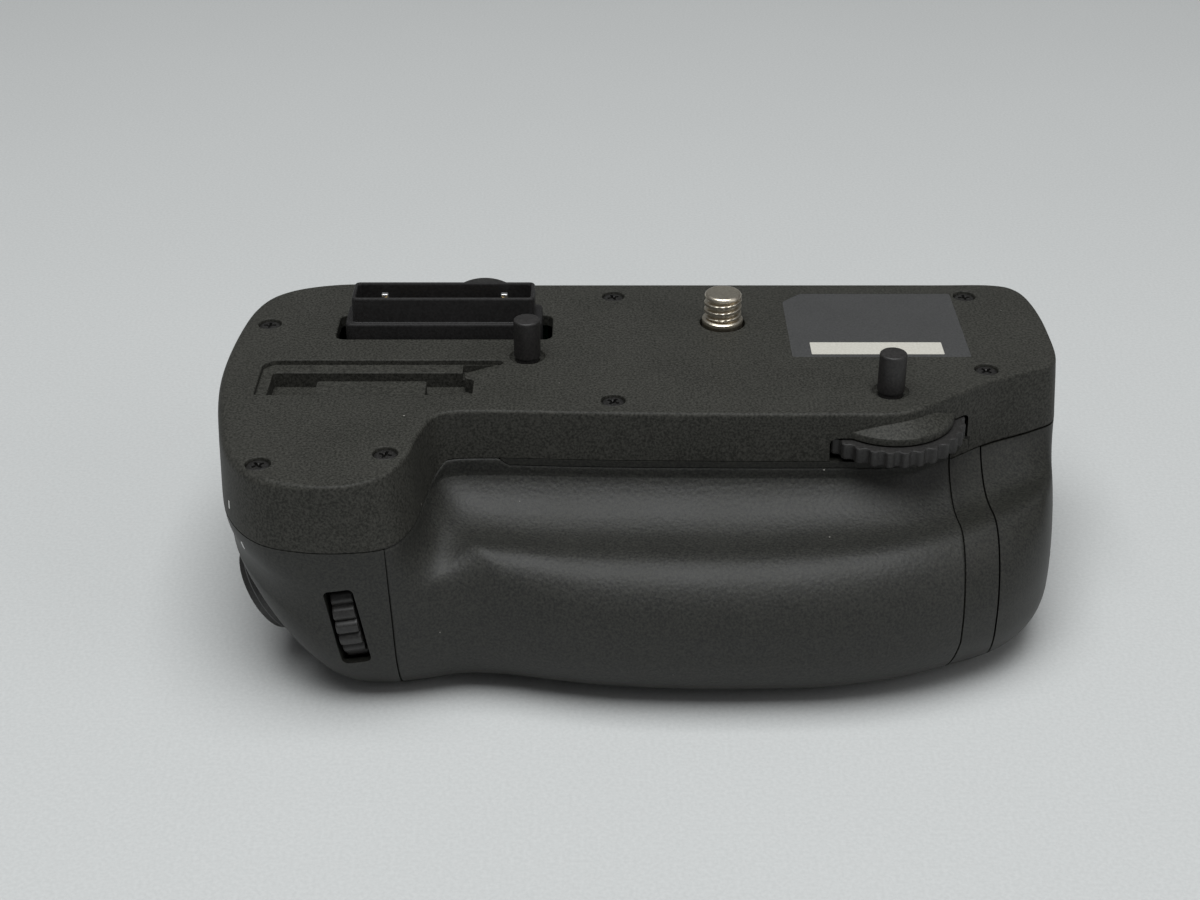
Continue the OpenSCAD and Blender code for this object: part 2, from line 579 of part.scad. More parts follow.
module connector_clips() color("#c9c9cc") for (s = [-1, 1])
    translate([tower_c.x + s * (tower_rim_l / 2 - 5.2) - 1, tower_c.y + 0.7, tower_floor - 1.5]) cube([2, 1, 4.2]);

// Pins: a thinner shank through the plate, then the guiding part with a tapered tip
module locating_pin(p, low) {
    post(p, pin_shank_r, low, case_h + pin_neck);
    post(p, pin_r, case_h + pin_neck, case_h + pin_up - pin_tip);
    translate([p.x, p.y, case_h + pin_up - pin_tip]) cylinder(r1 = pin_r, r2 = pin_r - pin_tip, h = pin_tip);
}
module locating_pin_left() color("#202022") locating_pin(pin_left_c, under_z - pin_seat + 1);
module locating_pin_right() color("#202022") locating_pin(wheel_c, chassis_top - chassis_t);

// Wheel, gears and mounting screw
wheel_teeth = 12;
idler_teeth = 24;
screw_teeth = 30;
axle_span = norm(wheel_c);
gear_m = axle_span / (wheel_teeth / 2 + idler_teeth + screw_teeth / 2);
idler_c = wheel_c * (screw_teeth + idler_teeth) * gear_m / 2 / axle_span;
mesh_angle = atan2(wheel_c.y, wheel_c.x);
idler_pin_r = 1.5;
module gear(n, turn, z0, z1) translate([0, 0, z0]) rotate(turn)
    linear_extrude(z1 - z0) polygon(gear_outline(n, gear_m));

module attachment_wheel() color("#242426") translate([wheel_c.x, wheel_c.y, 0]) difference() {
    union() {
        gear(wheel_teeth, mesh_angle + 180, gear_low, rim_low + 0.2);
        translate([0, 0, rim_low]) cylinder(r = wheel_r, h = wheel_t);
        translate([0, 0, chassis_top + 0.2]) cylinder(r = pin_shank_r + 1.8, h = under_z - chassis_top - 0.5);
    }
    for (k = [0:wheel_notches - 1]) rotate(360 * k / wheel_notches)
        translate([wheel_r + 0.3, 0, rim_low - 0.5]) cylinder(r = 0.9, h = wheel_t + 1);
    translate([0, 0, chassis_top - 1]) cylinder(r = pin_shank_r + run_gap, h = case_h);
}
module idler_gear() color("#d8d4c4") translate([idler_c.x, idler_c.y, 0]) difference() {
    union() {
        gear(idler_teeth, mesh_angle + 180 + 180 / idler_teeth, gear_low, gear_top);
        translate([0, 0, chassis_top + 0.2]) cylinder(r = idler_pin_r + 1.5, h = gear_low - chassis_top);
    }
    translate([0, 0, chassis_top - 1]) cylinder(r = idler_pin_r + run_gap, h = case_h);
}
module idler_pin() color("#b9babd") translate([idler_c.x, idler_c.y, 0]) {
    translate([0, 0, chassis_top - chassis_t]) cylinder(r = idler_pin_r, h = rim_low + 0.3 - chassis_top + chassis_t);
    translate([0, 0, rim_low + 0.3]) cylinder(r = idler_pin_r + 0.3, h = 0.8);
}
module screw_gear() color("#d8d4c4") difference() {
    gear(screw_teeth, mesh_angle, gear_low, gear_top);
    post([0, 0], journal_r + seat_gap, gear_low - 1, rim_low + 1);
}
thread_root = thread_r - 0.4 * thread_pitch;
thread_foot = case_h + 0.8;
thread_turns = floor((case_h + screw_up - thread_foot) / thread_pitch);
pivot_r = 1.6;
// One turn of the thread, as a ring: crest, then groove
function crest(z) = [[thread_r, z], [thread_r, z + thread_pitch * 0.4], [thread_root, z + thread_pitch * 0.65],
    [thread_root, z + thread_pitch * 0.75]];
module mounting_screw() color("#c7bfa8") rotate_extrude() polygon(concat(
    [[0, chassis_top - chassis_t], [pivot_r, chassis_top - chassis_t], [pivot_r, chassis_top + 0.2],
        [journal_r, chassis_top + 0.2], [journal_r, rim_low],
        [journal_r + 1, rim_low], [journal_r + 1, bush_low - 0.2],
        [journal_r, bush_low - 0.2], [journal_r, thread_foot]],
    [for (k = [0:thread_turns - 1]) each crest(thread_foot + k * thread_pitch)],
    [[thread_r, thread_foot + thread_turns * thread_pitch], [thread_r, case_h + screw_up - 0.5],
        [thread_r - 0.5, case_h + screw_up], [0, case_h + screw_up]]));
module screw_bush() color("#b48a3c") difference() {
    post([0, 0], bush_r, bush_low, under_z - 0.05);
    post([0, 0], journal_r + run_gap, bush_low - 1, case_h);
}
CHASSIS_PLAN = [[-15.4, E - 3.2], [24, E - 3.2], [cap_x - 4.8, -3], [cap_x - 4.8, -12], [32, F + 8.2],
    [25, F + 4], [20, F + 4], [-9.5, F + 5.2], [-15.4, F + 12]];
module chassis_plate() color("#a9abb0") difference() {
    translate([0, 0, chassis_top - chassis_t]) linear_extrude(chassis_t) polygon(CHASSIS_PLAN);
    post(wheel_c, pin_shank_r + seat_gap, 0, case_h);
    post(idler_c, idler_pin_r + seat_gap, 0, case_h);
    post([0, 0], pivot_r + run_gap, 0, case_h);
    for (p = CHASSIS_POSTS) post(p, small_screw_r + 0.15, 0, case_h);
}
module low_screw(p, top, length) translate([p.x, p.y, top]) mirror([0, 0, 1])
    translate([0, 0, small_head_t]) cross_screw(small_head_r, small_screw_r, small_head_t, length);
module chassis_screws() color("#b9babd") for (p = CHASSIS_POSTS) low_screw(p, chassis_top - chassis_t, 6);
module tripod_bush() color("#b9babd") difference() {
    post([0, 0], bush_out, 0, bush_h);
    post([0, 0], socket_r, -1, bush_h - 1.2);
}

// Boards
module main_board() color("#20563a") difference() {
    block(-70.4, -23.6, -11, 6, board_top - board_t, board_top);
    for (p = BOARD_POSTS) post(p, small_screw_r + 0.15, 0, case_h);
}
module board_screws() color("#b9babd") for (p = BOARD_POSTS) low_screw(p, board_top - board_t, 4.5);
module rear_board() color("#20563a")
    block(lock_x - 4.6, -30, rear_board_y, rear_board_y + rear_board_t, 9, under_z - 2);

// Battery drawer
contact_w = 1.4;
CONTACT_Y = [-28, -24, -20];
contact_z0 = 8;
contact_z1 = 17;
module chamber_contacts() color("#c8a24a") for (y = CONTACT_Y)
    block(chamber_x0, pack_x0 - 0.9, y - contact_w / 2, y + contact_w / 2, contact_z0, contact_z1);
module battery_terminals() color("#c8a24a") for (y = CONTACT_Y)
    block(pack_x0 - 0.6, pack_x0, y - 1.2, y + 1.2, contact_z0, contact_z1);
module battery_pack() color("#3a3a3d") run_x(pack_x0, pack_x0 + pack_l) polygon([[pack_front, pack_low + key],
    [pack_front + key, pack_low], [pack_rear, pack_low], [pack_rear, pack_top], [pack_front + 1.5, pack_top],
    [pack_front, pack_top - 1.5]]);
tray_front = pack_front - tray_t - 0.2;
tray_rear = pack_rear + tray_t + 0.2;
tray_low = base_t + 0.1;
tray_top = pack_low + 11.5;
holder_x = cap_x + 0.3;
module tray_outline(d, top) polygon([
    [tray_front + d, tray_low + key + 0.1], [tray_front + d, top], [tray_rear - d, top],
    [tray_rear - d, tray_low + d], [tray_front + key + 0.1 + d / 2, tray_low + d]]);
module holder_tray() color("#2d2d30") difference() {
    run_x(pack_x0 - 2, holder_x) tray_outline(0, tray_top);
    run_x(pack_x0 - 0.2, pack_x0 + pack_l + 0.2) tray_outline(tray_t, tray_top + 1);
    run_x(pack_x0 + pack_l + 1.6, holder_x - 1.2) tray_outline(tray_t, tray_top + 1);
    block(pack_x0 - 5, pack_x0 + 1, CONTACT_Y[0] - 2.2, CONTACT_Y[2] + 2.2, contact_z0 - 1.5, tray_top + 1);
}
knob_y = -12;
knob_z = 15.5;
dish_x = R - 3;
latch_bore = 2.4;
tongue_x = dish_x - 6.2;
tongue_up = 11.4;
module holder_cap() color("#29292b") difference() {
    intersection() {
        body_form();
        block(holder_x, R + 5, G - 5, E + 5, -1, seam_z - seam_gap);
    }
    difference() {
        hollow_form(shell - 0.2);
        block(holder_x - 5, holder_x + 1.6, G - 5, E + 5, -1, case_h);
        rod_x(knob_y, knob_z, knob_r + 2, dish_x - 3.4, R + 5);
    }
    block(holder_x - 1, holder_x + 1.7, F + 12.7, E - 2, shelf_low - 0.3, case_h);
    rod_x(knob_y, knob_z, knob_r + 0.5, dish_x, R + 5);
    rod_x(knob_y, knob_z, latch_bore + run_gap, dish_x - 10, R);
}
module latch_knob() color("#202022") {
    rod_x(knob_y, knob_z, knob_r, dish_x + 0.2, dish_x + 1.6);
    block(dish_x + 1.6, R, knob_y - 1.5, knob_y + 1.5, knob_z - knob_r + 1, knob_z + knob_r - 1);
}
module latch_tongue() color("#b9babd") {
    rod_x(knob_y, knob_z, latch_bore, tongue_x, dish_x + 0.2);
    difference() {
        union() {
            rod_x(knob_y, knob_z, latch_bore + 1.6, tongue_x, tongue_x + 1.6);
            block(tongue_x, tongue_x + 1.6, knob_y - 2.4, knob_y + 2.4, knob_z, knob_z + tongue_up);
        }
        rod_x(knob_y, knob_z, latch_bore, tongue_x - 1, tongue_x + 3);
    }
}

// Shutter control, in its own frame
module shutter_collar() color("#262628") shutter_frame() difference() {
    union() {
        translate([0, 0, collar_low]) cylinder(r = collar_r, h = 0.3 - collar_low);
        translate([0, 0, tube_low]) cylinder(r = tube_r, h = collar_low - tube_low + 0.1);
    }
    translate([0, 0, -0.9]) cylinder(r = collar_r - 0.8, h = 3);
    translate([0, 0, -2.9]) cylinder(r = button_r + 0.3, h = 5);
    translate([0, 0, -8]) cylinder(r = stem_r + run_gap, h = 8);
    translate([0, 0, tube_low - 1]) cylinder(r = tube_r - 1, h = collar_low + 0.6 - tube_low);
}
ring_in = button_r + 0.4;
ring_out = collar_r - 1.1;
lever = 2;
module shutter_ring() color("#202022") shutter_frame() difference() {
    union() {
        translate([0, 0, -0.7]) cylinder(r = ring_out, h = 2.5);
        translate([-ring_out - lever, -lever, 0.7]) cube([ring_out + lever, 2 * lever, 1.1]);
        translate([-ring_out - lever, 0, 0.7]) cylinder(r = lever, h = 1.1);
    }
    translate([0, 0, -2]) cylinder(r = ring_in, h = 6);
}
module shutter_button() color("#1b1b1d") shutter_frame() {
    translate([0, 0, -0.5]) cylinder(r = button_r, h = 2.4);
    translate([0, 0, 1.9]) cylinder(r1 = button_r, r2 = button_r - 0.7, h = 0.7);
    translate([0, 0, -4.6]) cylinder(r = stem_r, h = 4.1);
}
module shutter_switch() color("#111112") shutter_frame() {
    translate([0, 0, tube_low]) cylinder(r = tube_r - 1 - seat_gap, h = 0.8);
    translate([0, 0, tube_low + 0.8]) cylinder(r = 1.5, h = 0.7);
}

// Dials turn on an axle between two cheeks
module ridged_dial(r, t, ridges) rotate([0, 90, 0]) difference() {
    cylinder(r = r, h = t, center = true);
    for (k = [0:ridges - 1]) rotate(360 * k / ridges)
        translate([r + 0.25, 0, 0]) cylinder(r = 0.8, h = t + 1, center = true);
    cylinder(r = axle_r + run_gap, h = t + 1, center = true);
}
module dial_axle(t) rotate([0, 90, 0]) cylinder(r = axle_r, h = t + 2 * cheek_gap + 2 * cheek_t, center = true);
// Cheeks reach from the axle to a back plate; back is +1 for a plate behind the dial, -1 for one before it
module dial_bracket(r, t, back) difference() {
    union() {
        for (s = [-1, 1]) translate([s * (t / 2 + cheek_gap + cheek_t / 2), back * (r + 0.6) / 2 - back, 0])
            cube([cheek_t, r + 2.6, 2 * cheek_h], center = true);
        translate([0, back * (r + 1.2), 0]) cube([t + 2 * cheek_gap + 2 * cheek_t, 1.2, 2 * cheek_h], center = true);
    }
    rotate([0, 90, 0]) cylinder(r = axle_r + seat_gap, h = t + 8, center = true);
}
module dial_encoder(t) translate([-t / 2 - cheek_gap - cheek_t, 0, 0]) rotate([0, -90, 0]) cylinder(r = 3.5, h = 1.2);

module front_dial() color("#1f1f21") front_dial_frame() ridged_dial(front_dial_r, front_dial_t, 22);
module front_dial_axle() color("#b9babd") front_dial_frame() dial_axle(front_dial_t);
module front_dial_bracket() color("#3a3a3d") front_dial_frame() dial_bracket(front_dial_r, front_dial_t, 1);
module front_dial_encoder() color("#20563a") front_dial_frame() dial_encoder(front_dial_t);
module rear_dial() color("#1f1f21") rear_dial_frame() ridged_dial(rear_dial_r, rear_dial_t, 22);
module rear_dial_axle() color("#b9babd") rear_dial_frame() dial_axle(rear_dial_t);
module rear_dial_bracket() color("#3a3a3d") rear_dial_frame() dial_bracket(rear_dial_r, rear_dial_t, -1);
module rear_dial_encoder() color("#20563a") rear_dial_frame() dial_encoder(rear_dial_t);

module lock_button() color("#1f1f21") {
    rod_y(lock_x, lock_z, lock_r, E - 4.6, E + 1.5);
    rod_y(lock_x, lock_z, lock_r + 0.8, E - 4.2, E - 3.2);
}
module lock_switch() color("#111112") {
    block(lock_x - 2.5, lock_x + 2.5, rear_board_y + rear_board_t, rear_board_y + rear_board_t + 0.8,
        lock_z - 2.5, lock_z + 2.5);
    rod_y(lock_x, lock_z, 1.4, rear_board_y + rear_board_t + 0.8, E - 5.5);
}

// Selector pad on two crossed pivots
module selector_boss() color("#262628") difference() {
    rod_y(selector_x, selector_z, selector_boss_r, selector_boss_low, selector_boss_top);
    rod_y(selector_x, selector_z, gimbal_well, E - 5, E + 6);
    rod_x(pivot_y, selector_z, pivot_pin_r + run_gap, selector_x - gimbal_well - 1.2, selector_x + gimbal_well + 1.2);
}
module selector_collar() color("#262628") difference() {
    rod_y(selector_x, selector_z, selector_boss_r, selector_boss_top, selector_collar_top);
    rod_y(selector_x, selector_z, selector_r + 0.8, selector_boss_top - 1, selector_collar_top + 1);
}
module selector_gimbal() color("#b9babd") difference() {
    union() {
        rod_y(selector_x, selector_z, gimbal_r, pivot_y - 0.8, pivot_y + 0.8);
        rod_x(pivot_y, selector_z, pivot_pin_r, selector_x - gimbal_well - 1, selector_x + gimbal_well + 1);
    }
    rod_y(selector_x, selector_z, gimbal_bore, pivot_y - 2, pivot_y + 2);
    translate([selector_x, pivot_y, selector_z - gimbal_well])
        cylinder(r = pivot_pin_r + run_gap, h = 2 * gimbal_well);
}
pad_low = E + 2.2;
module selector_pad() color("#1f1f21") {
    rod_y(selector_x, selector_z, selector_r, pad_low, pad_low + 1.6);
    translate([selector_x, pad_low + 1.6, selector_z]) rotate([-90, 0, 0])
        cylinder(r1 = selector_r, r2 = selector_r - 2.2, h = 1.2);
}
module selector_stem() color("#b9babd") {
    rod_y(selector_x, selector_z, 1.9, pivot_y - 1.6, pad_low);
    translate([selector_x, pivot_y, selector_z - gimbal_bore - 0.9])
        cylinder(r = pivot_pin_r, h = 2 * gimbal_bore + 1.8);
}
module selector_base() color("#111112")
    block(selector_x - 5, selector_x + 5, rear_board_y + rear_board_t, E - 3.2, selector_z - 5, selector_z + 5);

top_cover();
main_body();
grip_rubber();
thumb_rubber();
cover_screws();
rating_label();
connector_tower();
connector_contacts();
connector_clips();
locating_pin_left();
locating_pin_right();
chassis_plate();
chassis_screws();
screw_bush();
mounting_screw();
screw_gear();
idler_gear();
idler_pin();
attachment_wheel();
tripod_bush();
main_board();
board_screws();
rear_board();
chamber_contacts();
holder_cap();
holder_tray();
battery_pack();
battery_terminals();
latch_knob();
latch_tongue();
shutter_collar();
shutter_ring();
shutter_button();
shutter_switch();
front_dial();
front_dial_axle();
front_dial_bracket();
front_dial_encoder();
rear_dial();
rear_dial_axle();
rear_dial_bracket();
rear_dial_encoder();
lock_button();
lock_switch();
selector_boss();
selector_collar();
selector_gimbal();
selector_stem();
selector_pad();
selector_base();
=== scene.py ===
"""Looks of a camera battery grip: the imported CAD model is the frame, and the pieces made here dress it."""
import json
import logging
import math
from collections.abc import Callable, Sequence
from dataclasses import dataclass, field
from enum import Enum

import bmesh
import bpy
import numpy as np
from mathutils import Matrix, Vector


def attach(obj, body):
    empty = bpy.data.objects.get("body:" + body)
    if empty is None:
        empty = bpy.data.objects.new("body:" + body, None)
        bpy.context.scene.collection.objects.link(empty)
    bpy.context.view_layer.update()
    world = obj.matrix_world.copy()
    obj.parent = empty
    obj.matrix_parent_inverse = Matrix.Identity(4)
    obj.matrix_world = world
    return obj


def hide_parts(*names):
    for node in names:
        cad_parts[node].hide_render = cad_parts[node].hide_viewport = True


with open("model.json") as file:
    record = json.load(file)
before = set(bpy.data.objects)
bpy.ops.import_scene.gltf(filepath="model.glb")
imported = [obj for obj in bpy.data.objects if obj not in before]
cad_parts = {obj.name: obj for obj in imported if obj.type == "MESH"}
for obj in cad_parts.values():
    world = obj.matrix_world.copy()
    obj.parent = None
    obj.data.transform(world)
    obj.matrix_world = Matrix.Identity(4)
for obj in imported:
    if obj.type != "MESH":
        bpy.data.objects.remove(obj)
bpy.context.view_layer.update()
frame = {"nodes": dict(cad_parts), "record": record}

LOG = logging.getLogger("grip")
MM = 0.001
Colour = tuple[float, float, float]
Outline = np.ndarray


class Body(Enum):
    """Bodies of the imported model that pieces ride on."""

    CASE = "case"
    WHEEL = "wheel"
    SCREW = "screw"
    SHUTTER = "shutter"
    SHUTTER_LOCK = "shutter_lock"
    FRONT_WHEEL = "front_wheel"
    REAR_WHEEL = "rear_wheel"
    LOCK = "lock"
    PAD = "pad"
    HOLDER = "holder"
    LATCH = "latch"


class Cut(Enum):
    """Ways in which one form acts on another."""

    TAKE = "DIFFERENCE"
    JOIN = "UNION"
    KEEP = "INTERSECT"


class Facing(Enum):
    """Directions that a form's own Z axis is turned to."""

    UP = (0.0, "X")
    BACK = (-90.0, "X")
    FRONT = (90.0, "X")
    RIGHT = (90.0, "Y")

    def at(self, x: float, y: float, z: float) -> Matrix:
        """Matrix that turns a form this way and moves it to a point in millimetres."""
        angle, axis = self.value
        return Matrix.Translation((x, y, z)) @ Matrix.Rotation(math.radians(angle), 4, axis)


# Curves and outlines

def bend(a: np.ndarray, b: np.ndarray, c: np.ndarray, d: np.ndarray, t: float) -> np.ndarray:
    """Point of a Catmull-Rom curve between b and c.

    Args:
        a: Point before b.
        b: Point at t = 0.
        c: Point at t = 1.
        d: Point after c.
        t: Share of the way from b to c.

    Returns:
        The point on the curve.
    """
    square, cube = 2 * a - 5 * b + 4 * c - d, 3 * b - a - 3 * c + d
    return 0.5 * (2 * b + (c - a) * t + square * t * t + cube * t ** 3)


def closed_curve(rows: np.ndarray, steps: int) -> np.ndarray:
    """Closed curve through rows, with the same number of steps from each row to the next.

    Args:
        rows: One row of numbers for each station.
        steps: Points from one station to the next.

    Returns:
        The rows of the finer curve.
    """
    count = len(rows)
    near = [[rows[(i + k) % count] for k in (-1, 0, 1, 2)] for i in range(count)]
    return np.array([bend(*four, k / steps) for four in near for k in range(steps)])


def open_curve(rows: np.ndarray, t: float) -> np.ndarray:
    """Point of an open curve through rows, at t from 0 to 1 along its whole length."""
    last = len(rows) - 1
    i = min(int(t * last), last - 1)
    return bend(rows[max(i - 1, 0)], rows[i], rows[i + 1], rows[min(i + 2, last)], t * last - i)


def inset(plan: Outline, depth: float) -> Outline:
    """Counterclockwise closed outline moved inward by depth, or outward where depth is negative."""
    run = np.roll(plan, -1, axis=0) - np.roll(plan, 1, axis=0)
    run /= np.linalg.norm(run, axis=1)[:, None]
    return plan + depth * np.column_stack([-run[:, 1], run[:, 0]])


def raised(plan: Outline, z: float) -> np.ndarray:
    """Flat outline as a ring of points at height z."""
    return np.column_stack([plan, np.full(len(plan), z)])


def circle(radius: float, steps: int = 64) -> Outline:
    """Counterclockwise circle about the origin."""
    angle = np.arange(steps) * 2 * math.pi / steps
    return radius * np.column_stack([np.cos(angle), np.sin(angle)])


def rounded(corners: Sequence[tuple[float, float]], radius: float, steps: int = 5) -> Outline:
    """Counterclockwise polygon with rounded corners.

    Args:
        corners: Corners of the polygon.
        radius: Length that each corner loses along its two sides.
        steps: Segments in each corner.

    Returns:
        The outline's points.
    """
    points = np.array(corners, float)
    out = []
    for before, here, after in zip(np.roll(points, 1, axis=0), points, np.roll(points, -1, axis=0)):
        start, end = before - here, after - here
        reach = min(radius, 0.45 * np.linalg.norm(start), 0.45 * np.linalg.norm(end))
        first = here + start / np.linalg.norm(start) * reach
        last = here + end / np.linalg.norm(end) * reach
        share = np.linspace(0, 1, steps + 1)[:, None]
        out.append((1 - share) ** 2 * first + 2 * share * (1 - share) * here + share ** 2 * last)
    return np.concatenate(out)


def round_box(width: float, height: float, radius: float, steps: int = 6) -> Outline:
    """Rectangle about the origin with rounded corners, counterclockwise."""
    x, y = width / 2 - radius, height / 2 - radius
    corners = []
    for centre, start in (((x, y), 0), ((-x, y), 90), ((-x, -y), 180), ((x, -y), 270)):
        turn = np.radians(np.linspace(0, 90, steps + 1)) + math.radians(start)
        corners.append(np.array(centre) + radius * np.column_stack([np.cos(turn), np.sin(turn)]))
    return np.concatenate(corners)


def quarter(radius: float, turns: Sequence[float] = (0, 30, 60, 90)) -> list[tuple[float, float]]:
    """Steps round a quarter circle, as the way in from the side and the way down from the top."""
    angles = [math.radians(a) for a in turns]
    return [(radius * (1 - math.cos(a)), radius * (1 - math.sin(a))) for a in angles]


# Forms

def evaluated(obj: bpy.types.Object) -> bpy.types.Mesh:
    """Mesh of an object with its modifiers applied."""
    bpy.context.view_layer.update()
    graph = bpy.context.evaluated_depsgraph_get()
    return bpy.data.meshes.new_from_object(obj.evaluated_get(graph), depsgraph=graph)


def shown(name: str, mesh: bpy.types.Mesh) -> bpy.types.Object:
    """New object of a mesh, linked to the scene."""
    obj = bpy.data.objects.new(name, mesh)
    bpy.context.scene.collection.objects.link(obj)
    return obj


class Form:
    """A closed mesh in millimetres that is lofted, turned and cut before it becomes a piece."""

    def __init__(self, mesh: bpy.types.Mesh) -> None:
        """Wraps a mesh in millimetres."""
        self.mesh = mesh

    @classmethod
    def of_faces(cls, points: np.ndarray, faces: list[tuple[int, ...]]) -> "Form":
        """Form of points and faces, with doubles merged and faces turned outward.

        Args:
            points: One row of three coordinates for each point.
            faces: Point numbers of each face.

        Returns:
            The form.
        """
        mesh = bpy.data.meshes.new("form")
        mesh.from_pydata([tuple(p) for p in points], [], faces)
        return cls(mesh).mended()

    @classmethod
    def loft(cls, rings: Sequence[np.ndarray], looped: bool = False) -> "Form":
        """Form through closed rings of equal length.

        Args:
            rings: Rings of points, one after the other.
            looped: True joins the last ring to the first; otherwise the two ends are capped.

        Returns:
            The form.
        """
        n, m = len(rings[0]), len(rings)
        faces = [(j * n + i, j * n + (i + 1) % n, (j + 1) % m * n + (i + 1) % n, (j + 1) % m * n + i)
                 for j in range(m if looped else m - 1) for i in range(n)]
        if not looped:
            faces.append(tuple(range(n - 1, -1, -1)))
            faces.append(tuple(range((m - 1) * n, m * n)))
        return cls.of_faces(np.concatenate(rings), faces)

    @classmethod
    def turned(cls, profile: Sequence[tuple[float, float]], steps: int = 64, looped: bool = False) -> "Form":
        """Form turned about the Z axis from a profile of radius and height."""
        return cls.loft([raised(circle(max(r, 1e-6), steps), z) for r, z in profile], looped)

    @classmethod
    def rod(cls, radius: float, low: float, high: float, steps: int = 64) -> "Form":
        """Upright rod with sharp edges, for cutting."""
        return cls.turned([(0, low), (radius, low), (radius, high), (0, high)], steps)

    @classmethod
    def prism(cls, outline: Outline, low: float, high: float, edge: float = 0.0) -> "Form":
        """Upright prism whose upper edge is rounded.

        Args:
            outline: Counterclockwise outline.
            low: Height of the lower face.
            high: Height of the upper face.
            edge: Radius of the upper edge; 0 leaves it sharp.

        Returns:
            The form.
        """
        if not edge:
            return cls.loft([raised(outline, low), raised(outline, high)])
        rings = [raised(inset(outline, into), high - drop) for into, drop in quarter(edge)]
        return cls.loft([raised(outline, low), *rings])

    @classmethod
    def block(cls, x0: float, x1: float, y0: float, y1: float, z0: float, z1: float) -> "Form":
        """Plain block between two corners, for cutting."""
        return cls.prism(np.array([(x0, y0), (x1, y0), (x1, y1), (x0, y1)], float), z0, z1)

    def mended(self) -> "Form":
        """Merges doubles and turns the faces outward."""
        edit = bmesh.new()
        edit.from_mesh(self.mesh)
        bmesh.ops.remove_doubles(edit, verts=edit.verts, dist=1e-4)
        bmesh.ops.recalc_face_normals(edit, faces=edit.faces)
        edit.to_mesh(self.mesh)
        edit.free()
        return self

    def place(self, matrix: Matrix) -> "Form":
        """Moves the form by a matrix in millimetres."""
        self.mesh.transform(matrix)
        return self

    def beside(self, *others: "Form") -> "Form":
        """Adds other forms as further shells of the same mesh."""
        edit = bmesh.new()
        for form in (self, *others):
            edit.from_mesh(form.mesh)
        edit.to_mesh(self.mesh)
        edit.free()
        return self

    def cut(self, how: Cut, *tools: "Form") -> "Form":
        """Acts on the form with each tool in turn, exactly.

        Args:
            how: Whether the tool is taken away, joined or the only part kept.
            tools: Closed forms; they are used up.

        Returns:
            The form itself.
        """
        work = shown("work", self.mesh)
        objects = [shown("tool", tool.mesh) for tool in tools]
        for obj in objects:
            step = work.modifiers.new("cut", "BOOLEAN")
            step.operation, step.solver, step.object = how.value, "EXACT", obj
        self.mesh = evaluated(work)
        for obj in (work, *objects):
            bpy.data.objects.remove(obj)
        return self

    def piece(self, name: str, body: Body, slot: str, finish: "Finish", replaces: Sequence[str] = (),
              smooth: float = 34.0) -> bpy.types.Object:
        """Turns the form into a finished piece in metres.

        Args:
            name: Name of the piece.
            body: Body that it rides on.
            slot: Material slot of the record; not used.
            finish: Surface finish.
            replaces: CAD nodes that it stands for.
            smooth: Edges flatter than this many degrees are shaded smooth.

        Returns:
            The piece's object.
        """
        mesh = self.mesh
        mesh.transform(Matrix.Scale(MM, 4))
        mesh.shade_smooth()
        mesh.set_sharp_from_angle(angle=math.radians(smooth))
        mesh.materials.clear()
        mesh.polygons.foreach_set("material_index", np.zeros(len(mesh.polygons), np.int32))
        mesh.materials.append(finish.material())
        obj = shown(name, mesh)
        even = obj.modifiers.new("even_normals", "WEIGHTED_NORMAL")
        even.keep_sharp = True
        obj.data = evaluated(obj)
        obj.modifiers.clear()
        obj.data.name = name
        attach(obj, body.value)
        if replaces:
            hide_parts(*replaces)
        LOG.info("%s: %d faces on %s", name, len(obj.data.polygons), body.value)
        return obj


def bore(radius: float, low: float, top: float, flare: float = 0.25, steps: int = 64) -> Form:
    """Cutter for an upright hole with a rounded mouth at height top."""
    mouth = [(radius + out, top - down) for out, down in quarter(flare)]
    return Form.turned([(0, low), (radius, low), *mouth, (radius + flare, top + 2), (0, top + 2)], steps)


def well(outline: Outline, low: float, top: float, flare: float = 0.25) -> Form:
    """Cutter for a pocket with an upright wall and a rounded mouth at height top."""
    mouth = [raised(inset(outline, -out), top - down) for out, down in quarter(flare)]
    return Form.loft([raised(outline, low), *mouth, raised(inset(outline, -flare), top + 2)])


def capped_rod(radius: float, low: float, high: float, edge: float, steps: int = 64) -> Form:
    """Upright rod with a rounded upper edge."""
    top = [(radius - into, high - down) for into, down in quarter(edge, (0, 22.5, 45, 67.5, 90))]
    return Form.turned([(0, low), (radius, low), *top, (0, high)], steps)


def posts_at(sites: Sequence[tuple[float, float]], radius: float, low: float, high: float,
             edge: float = 0.1) -> list[Form]:
    """Upright posts of one kind at sites."""
    return [capped_rod(radius, low, high, edge, 24).place(Facing.UP.at(x, y, 0)) for x, y in sites]


def stepped_box(width: float, height: float, radius: float, levels: Sequence[tuple[float, float]]) -> Form:
    """Rounded box through levels, each given by how far its sides are set in and its height."""
    return Form.loft([raised(round_box(width - 2 * cut, height - 2 * cut, radius - cut), z)
                      for cut, z in levels])


# Node trees

